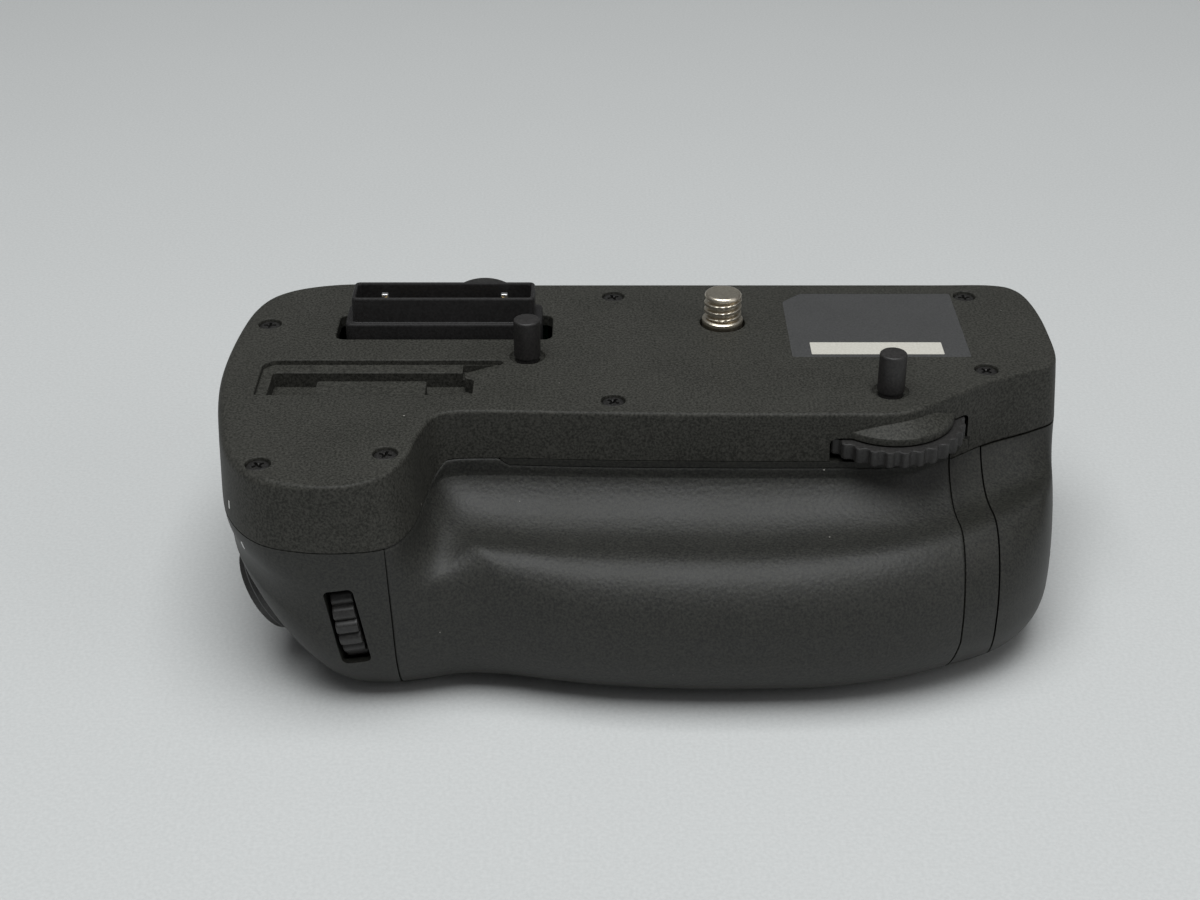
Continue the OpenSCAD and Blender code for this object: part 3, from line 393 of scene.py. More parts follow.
class Board:
    """A node tree that nodes are laid out on."""

    def __init__(self, tree: bpy.types.NodeTree) -> None:
        """Wraps a node tree."""
        self.tree = tree

    def node(self, kind: str, settings: dict | None = None, inputs: dict | None = None) -> bpy.types.Node:
        """Adds a node.

        Args:
            kind: Blender's name of the node type.
            settings: Properties, set first.
            inputs: Values or links by a socket's name or number.

        Returns:
            The node.
        """
        node = self.tree.nodes.new(kind)
        for key, value in (settings or {}).items():
            setattr(node, key, value)
        for key, value in (inputs or {}).items():
            socket = node.inputs[key]
            source = value.socket if isinstance(value, Value) else value
            if isinstance(source, bpy.types.NodeSocket):
                self.tree.links.new(source, socket)
            else:
                socket.default_value = source
        return node

    def value(self, kind: str, settings: dict | None = None, inputs: dict | None = None) -> "Value":
        """Adds a node and returns its first output for arithmetic."""
        return Value(self, self.node(kind, settings, inputs).outputs[0])


class Value:
    """A number socket of a tree; arithmetic on it adds Math nodes."""

    def __init__(self, board: Board, socket: bpy.types.NodeSocket) -> None:
        """Wraps an output socket."""
        self.board, self.socket = board, socket

    def math(self, operation: str, first: "Value | float", second: "Value | float") -> "Value":
        """Adds a Math node on two numbers."""
        return self.board.value("ShaderNodeMath", {"operation": operation}, {0: first, 1: second})

    def __add__(self, other: "Value | float") -> "Value":
        """Sum."""
        return self.math("ADD", self, other)

    def __radd__(self, other: float) -> "Value":
        """Sum, with the number first."""
        return self.math("ADD", other, self)

    def __sub__(self, other: "Value | float") -> "Value":
        """Difference."""
        return self.math("SUBTRACT", self, other)

    def __rsub__(self, other: float) -> "Value":
        """Difference, with the number first."""
        return self.math("SUBTRACT", other, self)

    def __mul__(self, other: "Value | float") -> "Value":
        """Product."""
        return self.math("MULTIPLY", self, other)

    def __lt__(self, other: "Value | float") -> "Value":
        """1 where this is less, otherwise 0."""
        return self.math("LESS_THAN", self, other)

    def __gt__(self, other: "Value | float") -> "Value":
        """1 where this is greater, otherwise 0."""
        return self.math("GREATER_THAN", self, other)


# Finishes

@dataclass(frozen=True)
class Finish:
    """A moulded surface: two shades in soft blotches, a fine grain and a few specks of dust."""

    name: str
    light: Colour
    dark: Colour
    rough: float = 0.55
    metal: float = 0.0
    gloss: float = 0.5
    blotch: float = 90.0
    grain: float = 2600.0
    relief: float = 0.25
    depth: float = 0.00003
    dust: float = 0.0

    def material(self) -> bpy.types.Material:
        """The finish's material, made once."""
        known = bpy.data.materials.get(self.name)
        if known:
            return known
        made = bpy.data.materials.new(self.name)
        made.use_nodes = True
        made.diffuse_color = (*self.light, 1)
        board = Board(made.node_tree)
        shader = made.node_tree.nodes["Principled BSDF"]
        shader.inputs["Metallic"].default_value = self.metal
        shader.inputs["Specular IOR Level"].default_value = self.gloss
        self.paint(board, shader)
        return made

    def paint(self, board: Board, shader: bpy.types.Node) -> None:
        """Lays out the colour, roughness and relief.

        Args:
            board: Board of the material's tree.
            shader: Its surface shader.
        """
        place = board.node("ShaderNodeTexCoord").outputs["Object"]
        blotch = self.cloud(board, place, self.blotch, 4)
        grain = self.cloud(board, place, self.grain, 2)
        mix = board.node("ShaderNodeMix", {"data_type": "RGBA"},
                         {0: blotch * 0.5 + grain * 3.0 - 1.25, 6: (*self.dark, 1), 7: (*self.light, 1)})
        colour = mix.outputs[2]
        if self.dust:
            colour = self.dusted(board, place, colour)
        board.tree.links.new(colour, shader.inputs["Base Color"])
        rough = self.rough - 0.08 + blotch * 0.10 + grain * 0.06
        board.tree.links.new(rough.socket, shader.inputs["Roughness"])
        bump = board.node("ShaderNodeBump", {}, {"Strength": self.relief, "Distance": self.depth,
                                                 "Height": self.texture(board, place, grain)})
        board.tree.links.new(bump.outputs[0], shader.inputs["Normal"])

    def texture(self, board: Board, place: bpy.types.NodeSocket, grain: Value) -> Value:
        """Height of the surface's fine texture."""
        return grain

    @staticmethod
    def cloud(board: Board, place: bpy.types.NodeSocket, scale: float, detail: float) -> Value:
        """Soft noise from 0 to 1."""
        return board.value("ShaderNodeTexNoise", {"noise_dimensions": "3D"},
                           {"Vector": place, "Scale": scale, "Detail": detail, "Roughness": 0.6})

    def dusted(self, board: Board, place: bpy.types.NodeSocket,
               colour: bpy.types.NodeSocket) -> bpy.types.NodeSocket:
        """Colour with a few pale specks.

        Args:
            board: Board of the material's tree.
            place: Object coordinates.
            colour: Colour below the dust.

        Returns:
            The dusted colour.
        """
        cell = board.node("ShaderNodeTexVoronoi", {}, {"Vector": place, "Scale": 330.0})
        tint = board.node("ShaderNodeSeparateColor", {}, {0: cell.outputs["Color"]})
        near = Value(board, cell.outputs["Distance"]) < Value(board, tint.outputs[1]) * 0.06
        some = Value(board, tint.outputs[0]) > 1 - self.dust
        mix = board.node("ShaderNodeMix", {"data_type": "RGBA"},
                         {0: near * some * 0.5, 6: colour, 7: (0.42, 0.40, 0.37, 1)})
        return mix.outputs[2]


@dataclass(frozen=True)
class Rubber(Finish):
    """Soft rubber with a pebbled skin."""

    pebble: float = 1500.0

    def texture(self, board: Board, place: bpy.types.NodeSocket, grain: Value) -> Value:
        """Rounded pebbles with grain between them."""
        cell = board.value("ShaderNodeTexVoronoi", {"feature": "SMOOTH_F1"},
                           {"Vector": place, "Scale": self.pebble})
        return grain * 0.5 + (1 - cell) * 0.8


@dataclass(frozen=True)
class Turned(Finish):
    """Metal with fine lathe lines across its axis."""

    lines: float = 5200.0

    def texture(self, board: Board, place: bpy.types.NodeSocket, grain: Value) -> Value:
        """Lines at right angles to the Z axis, broken up by grain."""
        bands = board.value("ShaderNodeTexWave", {"wave_type": "BANDS", "bands_direction": "Z"},
                            {"Vector": place, "Scale": self.lines, "Distortion": 1.5})
        return bands * 0.6 + grain * 0.4


@dataclass(frozen=True)
class Laminate(Finish):
    """Circuit board with faint tracks below its lacquer."""

    tracks: float = 420.0

    def texture(self, board: Board, place: bpy.types.NodeSocket, grain: Value) -> Value:
        """Raised tracks in a square pattern."""
        cell = board.value("ShaderNodeTexVoronoi", {"distance": "CHEBYCHEV"},
                           {"Vector": place, "Scale": self.tracks})
        return (cell > 0.34) * 0.8 + grain * 0.2


PLASTIC = Finish("matte_plastic", (0.056, 0.055, 0.048), (0.019, 0.019, 0.016), 0.56, gloss=0.18, dust=0.07)
LOWER_PLASTIC = Finish("lower_plastic", (0.026, 0.026, 0.021), (0.006, 0.006, 0.005), 0.52, gloss=0.46,
                       dust=0.07)
GRIP_RUBBER = Rubber("grip_rubber_skin", (0.028, 0.028, 0.023), (0.007, 0.007, 0.006), 0.60, gloss=0.54,
                     relief=0.6, depth=0.00012, dust=0.22)
CONTROL = Finish("control_plastic", (0.030, 0.029, 0.027), (0.014, 0.013, 0.013), 0.48, gloss=0.5)
TOWER_PLASTIC = Finish("tower_plastic", (0.020, 0.019, 0.019), (0.009, 0.008, 0.008), 0.55, gloss=0.45)
PIN_PLASTIC = Finish("pin_plastic", (0.026, 0.024, 0.023), (0.011, 0.010, 0.010), 0.50)
BLACK_STEEL = Finish("black_screw_steel", (0.050, 0.048, 0.046), (0.025, 0.024, 0.023), 0.42, metal=0.6)
BUTTON_GLOSS = Finish("button_gloss", (0.024, 0.023, 0.023), (0.016, 0.015, 0.015), 0.26, relief=0.08)
NICKEL = Finish("nickel_plate", (0.86, 0.80, 0.68), (0.70, 0.63, 0.52), 0.34, metal=1.0, relief=0.12,
                depth=0.00001)
STEEL = Turned("bright_steel", (0.62, 0.62, 0.63), (0.46, 0.46, 0.47), 0.34, metal=1.0, relief=0.2,
               depth=0.00001)
BRONZE = Turned("bush_bronze", (0.58, 0.40, 0.20), (0.42, 0.28, 0.13), 0.36, metal=1.0, relief=0.2,
                depth=0.00001)
GOLD = Finish("gold_contact", (0.86, 0.63, 0.27), (0.66, 0.46, 0.18), 0.30, metal=1.0, relief=0.1)
CLIP_METAL = Finish("clip_metal", (0.74, 0.74, 0.75), (0.55, 0.55, 0.56), 0.42, metal=1.0, relief=0.15)
SHEET = Finish("sheet_metal", (0.48, 0.49, 0.50), (0.36, 0.37, 0.38), 0.42, metal=1.0, grain=1800.0)
GEAR = Finish("gear_plastic", (0.62, 0.59, 0.50), (0.52, 0.49, 0.41), 0.45)
LABEL_FILM = Finish("label_film", (0.066, 0.066, 0.066), (0.046, 0.046, 0.046), 0.44, gloss=0.5, relief=0.1)
STRIP_FILM = Finish("blank_strip_film", (0.62, 0.60, 0.54), (0.54, 0.52, 0.46), 0.5, relief=0.08)
MARK_PAINT = Finish("mark_paint", (0.80, 0.80, 0.78), (0.68, 0.68, 0.66), 0.5, relief=0.1)
CIRCUIT = Laminate("circuit_laminate", (0.030, 0.120, 0.062), (0.016, 0.072, 0.038), 0.38, depth=0.00005)
TRAY_PLASTIC = Finish("tray_plastic", (0.050, 0.050, 0.052), (0.034, 0.034, 0.036), 0.55)
PACK_PLASTIC = Finish("pack_plastic", (0.070, 0.070, 0.074), (0.048, 0.048, 0.052), 0.50)
SWITCH_PLASTIC = Finish("switch_plastic", (0.020, 0.020, 0.021), (0.012, 0.012, 0.013), 0.5)


# Repeats by Geometry Nodes

class Repeat:
    """A geometry tree with named inputs; a modifier runs it once and the result becomes a plain form."""

    def __init__(self, name: str, sockets: dict[str, str]) -> None:
        """Starts the tree.

        Args:
            name: Name of the tree.
            sockets: Socket type of each input after the geometry, by name.
        """
        self.tree = bpy.data.node_groups.new(name, "GeometryNodeTree")
        face = self.tree.interface
        face.new_socket("Geometry", in_out="INPUT", socket_type="NodeSocketGeometry")
        made = {key: face.new_socket(key, in_out="INPUT", socket_type=kind) for key, kind in sockets.items()}
        self.keys = {key: socket.identifier for key, socket in made.items()}
        face.new_socket("Geometry", in_out="OUTPUT", socket_type="NodeSocketGeometry")
        self.board = Board(self.tree)
        self.given = self.board.node("NodeGroupInput").outputs

    def close(self, points: bpy.types.NodeSocket, instance: bpy.types.NodeSocket) -> None:
        """Ends the tree: a copy at each point, each turned further, made real, merged and given the material.

        Args:
            points: Points that the copies stand at.
            instance: Geometry that is copied.
        """
        turn = self.board.value("GeometryNodeInputIndex") * Value(self.board, self.given["Turn"])
        euler = self.board.node("ShaderNodeCombineXYZ", {}, {"Z": turn})
        rotation = self.board.node("FunctionNodeEulerToRotation", {}, {0: euler.outputs[0]})
        copies = self.board.node("GeometryNodeInstanceOnPoints", {},
                                 {"Points": points, "Instance": instance, "Rotation": rotation.outputs[0]})
        real = self.board.node("GeometryNodeRealizeInstances", {}, {0: copies.outputs[0]})
        whole = self.board.node("GeometryNodeMergeByDistance", {},
                                {"Geometry": real.outputs[0], "Distance": 0.002})
        coated = self.board.node("GeometryNodeSetMaterial", {},
                                 {"Geometry": whole.outputs[0], "Material": self.given["Material"]})
        self.board.node("NodeGroupOutput", {}, {0: coated.outputs[0]})

    def run(self, form: Form, **values: object) -> Form:
        """Runs the tree on a form.

        Args:
            form: Form that enters the tree.
            values: Value of each named input.

        Returns:
            The repeated form.
        """
        obj = shown("repeat", form.mesh)
        step = obj.modifiers.new("repeat", "NODES")
        step.node_group = self.tree
        for key, value in values.items():
            step[self.keys[key]] = value
        mesh = evaluated(obj)
        bpy.data.objects.remove(obj)
        return Form(mesh)


class StepCopies(Repeat):
    """Copies of a form, each moved and turned by the same step from the last."""

    def __init__(self) -> None:
        """Builds the tree."""
        super().__init__("copies_in_step", {"Count": "NodeSocketInt", "Step": "NodeSocketVector",
                                            "Turn": "NodeSocketFloat", "Material": "NodeSocketMaterial"})
        line = self.board.node("GeometryNodeMeshLine", {"mode": "OFFSET"}, {
            "Count": self.given["Count"], "Start Location": (0, 0, 0), "Offset": self.given["Step"]})
        self.close(line.outputs[0], self.given["Geometry"])

    def around(self, form: Form, count: int, finish: Finish) -> Form:
        """Copies of a segment that fill a whole turn about the Z axis."""
        return self.run(form, Count=count, Step=(0.0, 0.0, 0.0), Turn=2 * math.pi / count,
                        Material=finish.material())

    def along(self, form: Form, count: int, step: float, finish: Finish) -> Form:
        """Copies in a row along the X axis."""
        return self.run(form, Count=count, Step=(step, 0.0, 0.0), Turn=0.0, Material=finish.material())


class SiteCopies(Repeat):
    """Copies of a template form at the points of a mesh, each turned a little further."""

    def __init__(self) -> None:
        """Builds the tree."""
        super().__init__("copies_at_sites", {"Template": "NodeSocketObject", "Turn": "NodeSocketFloat",
                                             "Material": "NodeSocketMaterial"})
        template = self.board.node("GeometryNodeObjectInfo", {},
                                   {"Object": self.given["Template"], "As Instance": True})
        self.close(self.given["Geometry"], template.outputs["Geometry"])

    def at(self, template: Form, sites: Sequence[tuple[float, float, float]], turn: float,
           finish: Finish) -> Form:
        """Copies a template form to sites.

        Args:
            template: Form about the origin.
            sites: Points in millimetres.
            turn: Angle in radians from one copy to the next.
            finish: Finish of the copies.

        Returns:
            All the copies as one form.
        """
        points = bpy.data.meshes.new("sites")
        points.from_pydata(list(sites), [], [])
        obj = shown("template", template.mesh)
        made = self.run(Form(points), Template=obj, Turn=turn, Material=finish.material())
        bpy.data.objects.remove(obj)
        return made


def toothed(count: int, radius: Callable[[float], float],
            profile: Callable[[float], list[tuple[float, float]]], finish: Finish, grid: int = 10) -> Form:
    """Ring of equal segments about the Z axis, repeated by Geometry Nodes.

    Args:
        count: Segments in the ring.
        radius: Outer radius at a share from 0 to 1 of the segment.
        profile: Closed section, as radius and height, for an outer radius.
        finish: Finish of the ring.
        grid: Steps across one segment.

    Returns:
        The ring.
    """
    step = 2 * math.pi / count
    points, faces = [], []
    for i in range(grid + 1):
        angle = step * i / grid
        section = profile(radius(i / grid))
        points += [(r * math.cos(angle), r * math.sin(angle), z) for r, z in section]
    size = len(section)
    for i in range(grid):
        for k in range(size):
            a, b = i * size + k, i * size + (k + 1) % size
            faces.append((a, b, b + size, a + size))
    return StepCopies().around(Form.of_faces(np.array(points), faces), count, finish).mended()


# The case's outer skin

# Heights of the plate, the cover's seam, the lip below the fascia and the plate's underside, in millimetres
CASE_TOP = 41.5
SEAM_Z = 30.2
LIP_Z = 33.1
UNDER_Z = 39.5
# Left and right ends, rear wall, fascia, front of the hand grip and front of the shutter lobe
L, R, E, F, G, D = -82.6, 55.4, 15.4, -33.0, -57.0, -55.4
# Where the battery drawer starts and where the lip ends
DRAWER_X = 41.2
LIP_X1 = 35.8
# Axes of the wheel with the right pin, of the left pin and of the connector's tower
WHEEL_SITE = (25.6, -25.2)
LEFT_PIN_SITE = (-32.9, -12.9)
TOWER_SITE = (-47.2, -1.8)
# Frame of the selector on the rear wall, frame of the thumb rubber, and the lock button's place across and up
SELECTOR_FRAME = Facing.BACK.at(-41.5, E, 32.7)
THUMB_FRAME = Facing.BACK.at(-34.5, 0, 13.7)
LOCK_X, LOCK_Z = -56.5, 17


@dataclass
class CaseForm:
    """Outer skin of the case, blended from four plan outlines that run round it counterclockwise.

    A row at v from 0 to 1 lies on the rounded base, from 1 to 2 on the wall or the finger shelf up to the
    cover's seam, and from 2 to 3 on the lip below the fascia.
    """

    steps: int = 8
    shelf_reach: float = 20.0
    shelf_foot: float = 12.0
    # Top x and y, seam x and y, widest x and y, base x and y, widest height, roundness below it, shelf lift
    stations: list[tuple[float, ...]] = field(default_factory=lambda: [
        (R - 0.4, -3, R, -3, R - 1, -8, R - 9.4, -8, 12, 2, 2),
        (R - 1, 7, R - 0.7, 7, R - 1, 5, R - 9.4, 4, 12, 2, 1),
        (R - 2.8, E - 2.4, R - 2.7, E - 2.4, R - 2.8, E - 3, R - 12, E - 6, 9, 2, 0),
        (R - 6.9, E - 0.1, R - 6.9, E - 0.1, R - 7, E - 0.2, R - 16.4, E - 3.4, 6, 2, 0),
        (38, E, 38, E, 38, E, 32, E - 3.1, 5, 2, 0),
        (19, E, 19, E, 19, E, 17, E - 3.1, 5, 2, 0),
        (0, E, 0, E, 0, E, 0, E - 3.1, 5, 2, 0),
        (-20, E, -20, E, -20, E, -20, E - 3.1, 5, 2, 0),
        (-40, E, -40, E, -40, E, -39, E - 3.1, 5, 2, 0),
        (-56, E + 0.2, -56, E + 0.2, -56, E + 0.2, -52, E - 3.4, 6, 2, 0),
        (L + 14.6, E + 0.4, L + 14.6, E + 0.4, L + 14.6, E + 0.2, L + 23.7, E - 4.9, 12, 1.7, 0),
        (L + 6.6, E - 2.2, L + 6.6, E - 2.2, L + 6.8, E - 2.4, L + 19.7, E - 8.9, 18, 1.5, 0),
        (L + 2.2, E - 8.4, L + 2.2, E - 8.4, L + 2.6, E - 8.6, L + 18.2, E - 15.4, 22, 1.35, 0),
        (L + 0.3, -5, L + 0.4, -5, L + 0.8, -5, L + 17.7, -9, 24, 1.25, 0),
        (L, -19, L + 0.1, -19, L + 0.6, -19, L + 17.7, -20, 24, 1.25, 0),
        (L + 1.6, -32, L + 1.4, -32.5, L + 2.2, -32, L + 18.7, -30, 24, 1.25, 0),
        (L + 4.7, D + 10.9, L + 4.4, D + 10.1, L + 5.6, D + 10.4, L + 20.7, D + 17.9, 23, 1.3, 0),
        (L + 10, D + 3.1, L + 9.8, D + 2.4, L + 11.7, D + 3.4, L + 23.4, D + 13.9, 19, 1.55, 0),
        (L + 17.7, D + 0.1, L + 17.2, D - 0.4, L + 19.2, D + 0.5, L + 26.7, D + 11.8, 15, 1.9, 0),
        (L + 24.8, D + 0.3, L + 25.2, D - 0.5, L + 26.7, D + 0.6, L + 30.7, D + 11.6, 13, 2, 0),
        (L + 29.7, D + 3.4, L + 30.4, D + 1.4, L + 33.6, D + 1.8, L + 35.2, D + 12.8, 12, 2, 0),
        (L + 32.4, D + 9.1, L + 33.3, D + 7.4, L + 39.7, G + 4.6, L + 40.2, G + 16, 12, 2, 1),
        (L + 34, F - 5, L + 34.7, F - 5.5, -36, G + 4, -36.5, G + 16.4, 12, 2, 1),
        (L + 36.7, F + 0.2, L + 37.2, F - 0.2, -29, G + 2.4, -30, G + 15.6, 12, 2, 0.5),
        (-38, F + 1.1, -37.5, F + 0.6, -20, G + 0.8, -21, G + 14, 12, 2, 0),
        (-20, F + 0.4, -20, F - 0.1, -8, G, -8.5, G + 12.6, 12, 2, 0),
        (0, F, 0, F - 0.4, 4, G, 3.5, G + 12.4, 12, 2, 0),
        (16, F, 16, F - 0.4, 16, G + 0.7, 15, G + 13, 12, 2, 0.5),
        (26.5, F + 0.4, 26.5, F, 27, G + 2.8, 24.5, G + 15.8, 12, 2, 1),
        (33.5, F + 4.8, 34, F + 4.2, 36, G + 6.2, 32.2, G + 19.2, 12, 2, 1),
        (R - 13.4, F + 11.2, R - 12.9, F + 10.5, R - 10.4, G + 11.5, R - 15.6, G + 22.5, 12, 2, 1),
        (R - 5.4, F + 15.4, R - 4.6, F + 15, R - 4.2, G + 20, R - 10.6, G + 28.5, 12, 2, 1.2),
        (R - 1.2, F + 18.8, R - 0.2, F + 19.2, R - 1.6, G + 33, R - 9.4, G + 38.5, 12, 2, 2)])
    # Share of the way in from the widest outline to the seam, and height
    shelf: list[tuple[float, float]] = field(default_factory=lambda: [
        (0, 12), (0, 16), (0.05, 20), (0.14, 23.2), (0.26, 25), (0.38, 25.3), (0.52, 24.8), (0.66, 24.7),
        (0.79, 25.6), (0.9, 27.3), (0.97, 29), (1, SEAM_Z)])
    hollow: list[tuple[float, float]] = field(default_factory=lambda: [
        (0, 12), (0, 16), (0.06, 19.6), (0.16, 21.6), (0.3, 22), (0.93, 22), (1, 23.5), (1, SEAM_Z)])

    def __post_init__(self) -> None:
        """Splits the smoothed stations into outlines and measures."""
        table = closed_curve(np.array(self.stations, float), self.steps)
        self.top, self.seam, self.widest, self.base = (table[:, k:k + 2] for k in (0, 2, 4, 6))
        self.swell, self.roundness, self.lift = table[:, 8], table[:, 9], table[:, 10]

    def row(self, v: float, depth: float = 0.0) -> np.ndarray:
        """Ring of points at v, on the skin or on the hollow at a depth below it.

        Args:
            v: Place from the base to the lip.
            depth: Wall thickness; 0 gives the outer skin.

        Returns:
            One point for each column round the case.
        """
        base, widest, seam = (inset(p, depth) if depth else p for p in (self.base, self.widest, self.seam))
        if v < 1:
            power = 2 / self.roundness
            out = np.sin(v * math.pi / 2) ** power
            up = 1 - np.cos(v * math.pi / 2) ** power
            plan = base + (widest - base) * out[:, None]
            return np.column_stack([plan, depth + (self.swell - depth) * up])
        if v <= 2:
            t = v - 1
            share, height = open_curve(np.array(self.hollow if depth else self.shelf, float), t)
            part = np.minimum(1, np.linalg.norm(seam - widest, axis=1) / self.shelf_reach)
            wall = self.swell + (SEAM_Z - self.swell) * t
            ledge = height + (self.swell - self.shelf_foot) * (1 - t) + self.lift * math.sin(math.pi * t) ** 2
            return np.column_stack([widest + (seam - widest) * share, wall * (1 - part) + ledge * part])
        return raised(seam, SEAM_Z + (LIP_Z - SEAM_Z) * (v - 2))

    def solid(self) -> Form:
        """The lower body's outer form, up to the lip all round."""
        rows = [*np.linspace(0, 1, 15)[:-1], *np.linspace(1, 2, 45), 2.5, 3.0]
        return Form.loft([self.row(v) for v in rows])

    def inside(self, depth: float) -> Form:
        """The lower body's hollow, with a wall of the given depth round it."""
        rows = [*np.linspace(0, 1, 9)[:-1], *np.linspace(1, 2, 22), 3.4]
        return Form.loft([self.row(v, depth) for v in rows])


# Sub-assemblies

@dataclass
class TopCover:
    """Camera plate with its skirt, pocket, holes and the brow over the wheel."""

    case: CaseForm
    wall: float = 2.0
    edge: float = 0.6
    lobe_edge: float = 1.5
    low_edge: float = 0.3
    # Where the wider edge of the shutter end starts, and the length over which it widens
    lobe_start: float = -60.0
    lobe_blend: float = 16.0
    seam_gap: float = 0.12
    screw_sites: list[tuple[float, float]] = field(default_factory=lambda: [
        (L + 5.4, -0.6), (L + 10.4, D + 6.9), (L + 29.2, D + 10.1), (-18.6, E - 4.9), (-18.8, F + 4.7),
        (R - 12.4, E - 4.9), (R - 13.2, F + 15.4)])
    chassis_posts: list[tuple[float, float]] = field(default_factory=lambda: [
        (-12.6, E - 5.6), (20, E - 9.4), (-6, F + 9), (33.2, -7)])
    board_posts: list[tuple[float, float]] = field(default_factory=lambda: [
        (-68, 3.5), (-26, 3.5), (-68, -8.6), (-26, -8.6)])
    pins: list[tuple[float, float]] = field(default_factory=lambda: [LEFT_PIN_SITE, WHEEL_SITE])
    label: list[tuple[float, float]] = field(default_factory=lambda: [
        (10.9, -13.2), (40.5, -13.2), (40.5, 11.4), (14.2, 11.4), (10.9, 8.1)])

    def edge_of(self) -> np.ndarray:
        """Radius of the upper edge at each column: wider round the shutter end than along the fascia."""
        plan = self.case.top
        near = np.clip((self.lobe_start - plan[:, 0]) / self.lobe_blend, 0, 1)
        near = near * near * (3 - 2 * near)
        return self.edge + (self.lobe_edge - self.edge) * near

    def skin(self) -> Form:
        """Skirt and plate before anything is cut."""
        case, edge = self.case, self.edge_of()[:, None]
        rings = [raised(inset(case.seam, into), SEAM_Z + up)
                 for into, up in quarter(self.low_edge, (90, 60, 30, 0))]
        inward = inset(case.top, 1.0) - case.top
        for share in (0.35, 0.7):
            height = SEAM_Z + (CASE_TOP - SEAM_Z) * share
            rings.append(raised(case.seam + (case.top - case.seam) * share, height))
        for a in np.radians((0, 18, 36, 54, 72, 90)):
            ring = raised(case.top + inward * edge * (1 - math.cos(a)), CASE_TOP)
            ring[:, 2] -= edge[:, 0] * (1 - math.sin(a))
            rings.append(ring)
        return Form.loft(rings)

    def brow(self) -> Form:
        """Rounded brow over the wheel, with the sloping facet that catches the light."""
        profile = [(0, 37.2), (10.4, 37.2), (10.4, 38.0), (10.3, 38.25), (10.0, 38.45), (7.4, 39.9),
                   (6.8, 40.0), (0, 40.0)]
        return Form.turned(profile, 96).place(Facing.UP.at(*WHEEL_SITE, 0))

    def posts(self) -> list[Form]:
        """Posts for the chassis, the board and the left pin, and the pocket's floor."""
        root = UNDER_Z + 0.3
        return [*posts_at(self.chassis_posts, 2.3, 29.7, root), *posts_at(self.board_posts, 2.0, 32.2, root),
                *posts_at([LEFT_PIN_SITE], 3.6, 36.0, root),
                Form.block(-77, -38.8, -27.9, -13.7, 36.6, root)]

    def pocket(self) -> list[Form]:
        """Cutters of the stepped pocket that stores the camera's contact cover."""
        step = rounded([(-76.2, -26.5), (-41.5, -26.5), (-41.2, -19.7), (-36.6, -15.3), (-37.2, -14.3),
                        (-74.7, -14.3), (-76.2, -15.8)], 0.7)
        deep = rounded([(-74.4, -26.3), (-66.8, -26.3), (-66.8, -20.1), (-49.0, -20.1), (-49.0, -26.3),
                        (-41.4, -26.3), (-41.4, -19.6), (-43.0, -18.9), (-43.0, -17.2), (-74.4, -17.2)], 0.5)
        ramp = np.array([(-43.4, CASE_TOP - 2.2), (-42.6, CASE_TOP - 2.2), (-37.4, CASE_TOP - 0.7),
                         (-37.4, CASE_TOP), (-43.4, CASE_TOP)])
        return [well(step, CASE_TOP - 0.9, CASE_TOP, 0.2), well(deep, CASE_TOP - 3.5, CASE_TOP - 0.9, 0.15),
                Form.prism(ramp, 14.5, 17.4).place(Facing.FRONT.at(0, 0, 0))]

    def holes(self) -> list[Form]:
        """Cutters of the plate's holes, apart from those that overlap another cutter."""
        made = [bore(3.85, UNDER_Z - 1, CASE_TOP, 0.2)]
        dished = [(0, 36.5), (2.05, 36.5), (2.05, 40.9), (2.5, 40.95), (2.8, 41.2), (3.0, CASE_TOP),
                  (3.0, CASE_TOP + 1), (0, CASE_TOP + 1)]
        for x, y in self.pins:
            made.append(Form.turned(dished).place(Facing.UP.at(x, y, 0)))
        for x, y in self.screw_sites:
            made.append(bore(1.95, CASE_TOP - 1, CASE_TOP, 0.22, 40).place(Facing.UP.at(x, y, 0)))
        opening = round_box(36.4, 9.4, 1.5) + np.array(TOWER_SITE)
        made.append(well(opening, UNDER_Z - 1, CASE_TOP, 0.3))
        made.append(Form.prism(rounded(self.label, 0.5), CASE_TOP - 0.2, CASE_TOP + 1))
        return made

    def build(self) -> None:
        """Makes the cover."""
        shell = self.skin()
        hollow = Form.prism(inset(self.case.top, self.wall), SEAM_Z - 1, UNDER_Z)
        shell.cut(Cut.JOIN, self.brow()).cut(Cut.TAKE, hollow)
        shell.cut(Cut.JOIN, *self.posts())
        holes = self.holes()
        shell.cut(Cut.TAKE, holes[0].beside(*holes[1:]), *self.pocket())
        slot = Form.turned([(0, 32.6), (13.2, 32.6), (13.0, 33.2), (13.0, 36.2), (12.85, 36.75), (12.4, 37.1),
                            (11.9, 37.2), (0, 37.2)], 96)
        lip = np.array([(L + 33.1, SEAM_Z - 1), (LIP_X1, SEAM_Z - 1), (LIP_X1, LIP_Z + self.seam_gap),
                        (L + 37.4, LIP_Z + self.seam_gap)])
        shell.cut(Cut.TAKE, slot.place(Facing.UP.at(*WHEEL_SITE, 0)),
                  Form.prism(lip, 25, 41).place(Facing.FRONT.at(0, 0, 0)),
                  Form.rod(8.05, -6, 2).place(SELECTOR_FRAME))
        shell.piece("cover_shell", Body.CASE, "cover", PLASTIC, ["top_cover"])


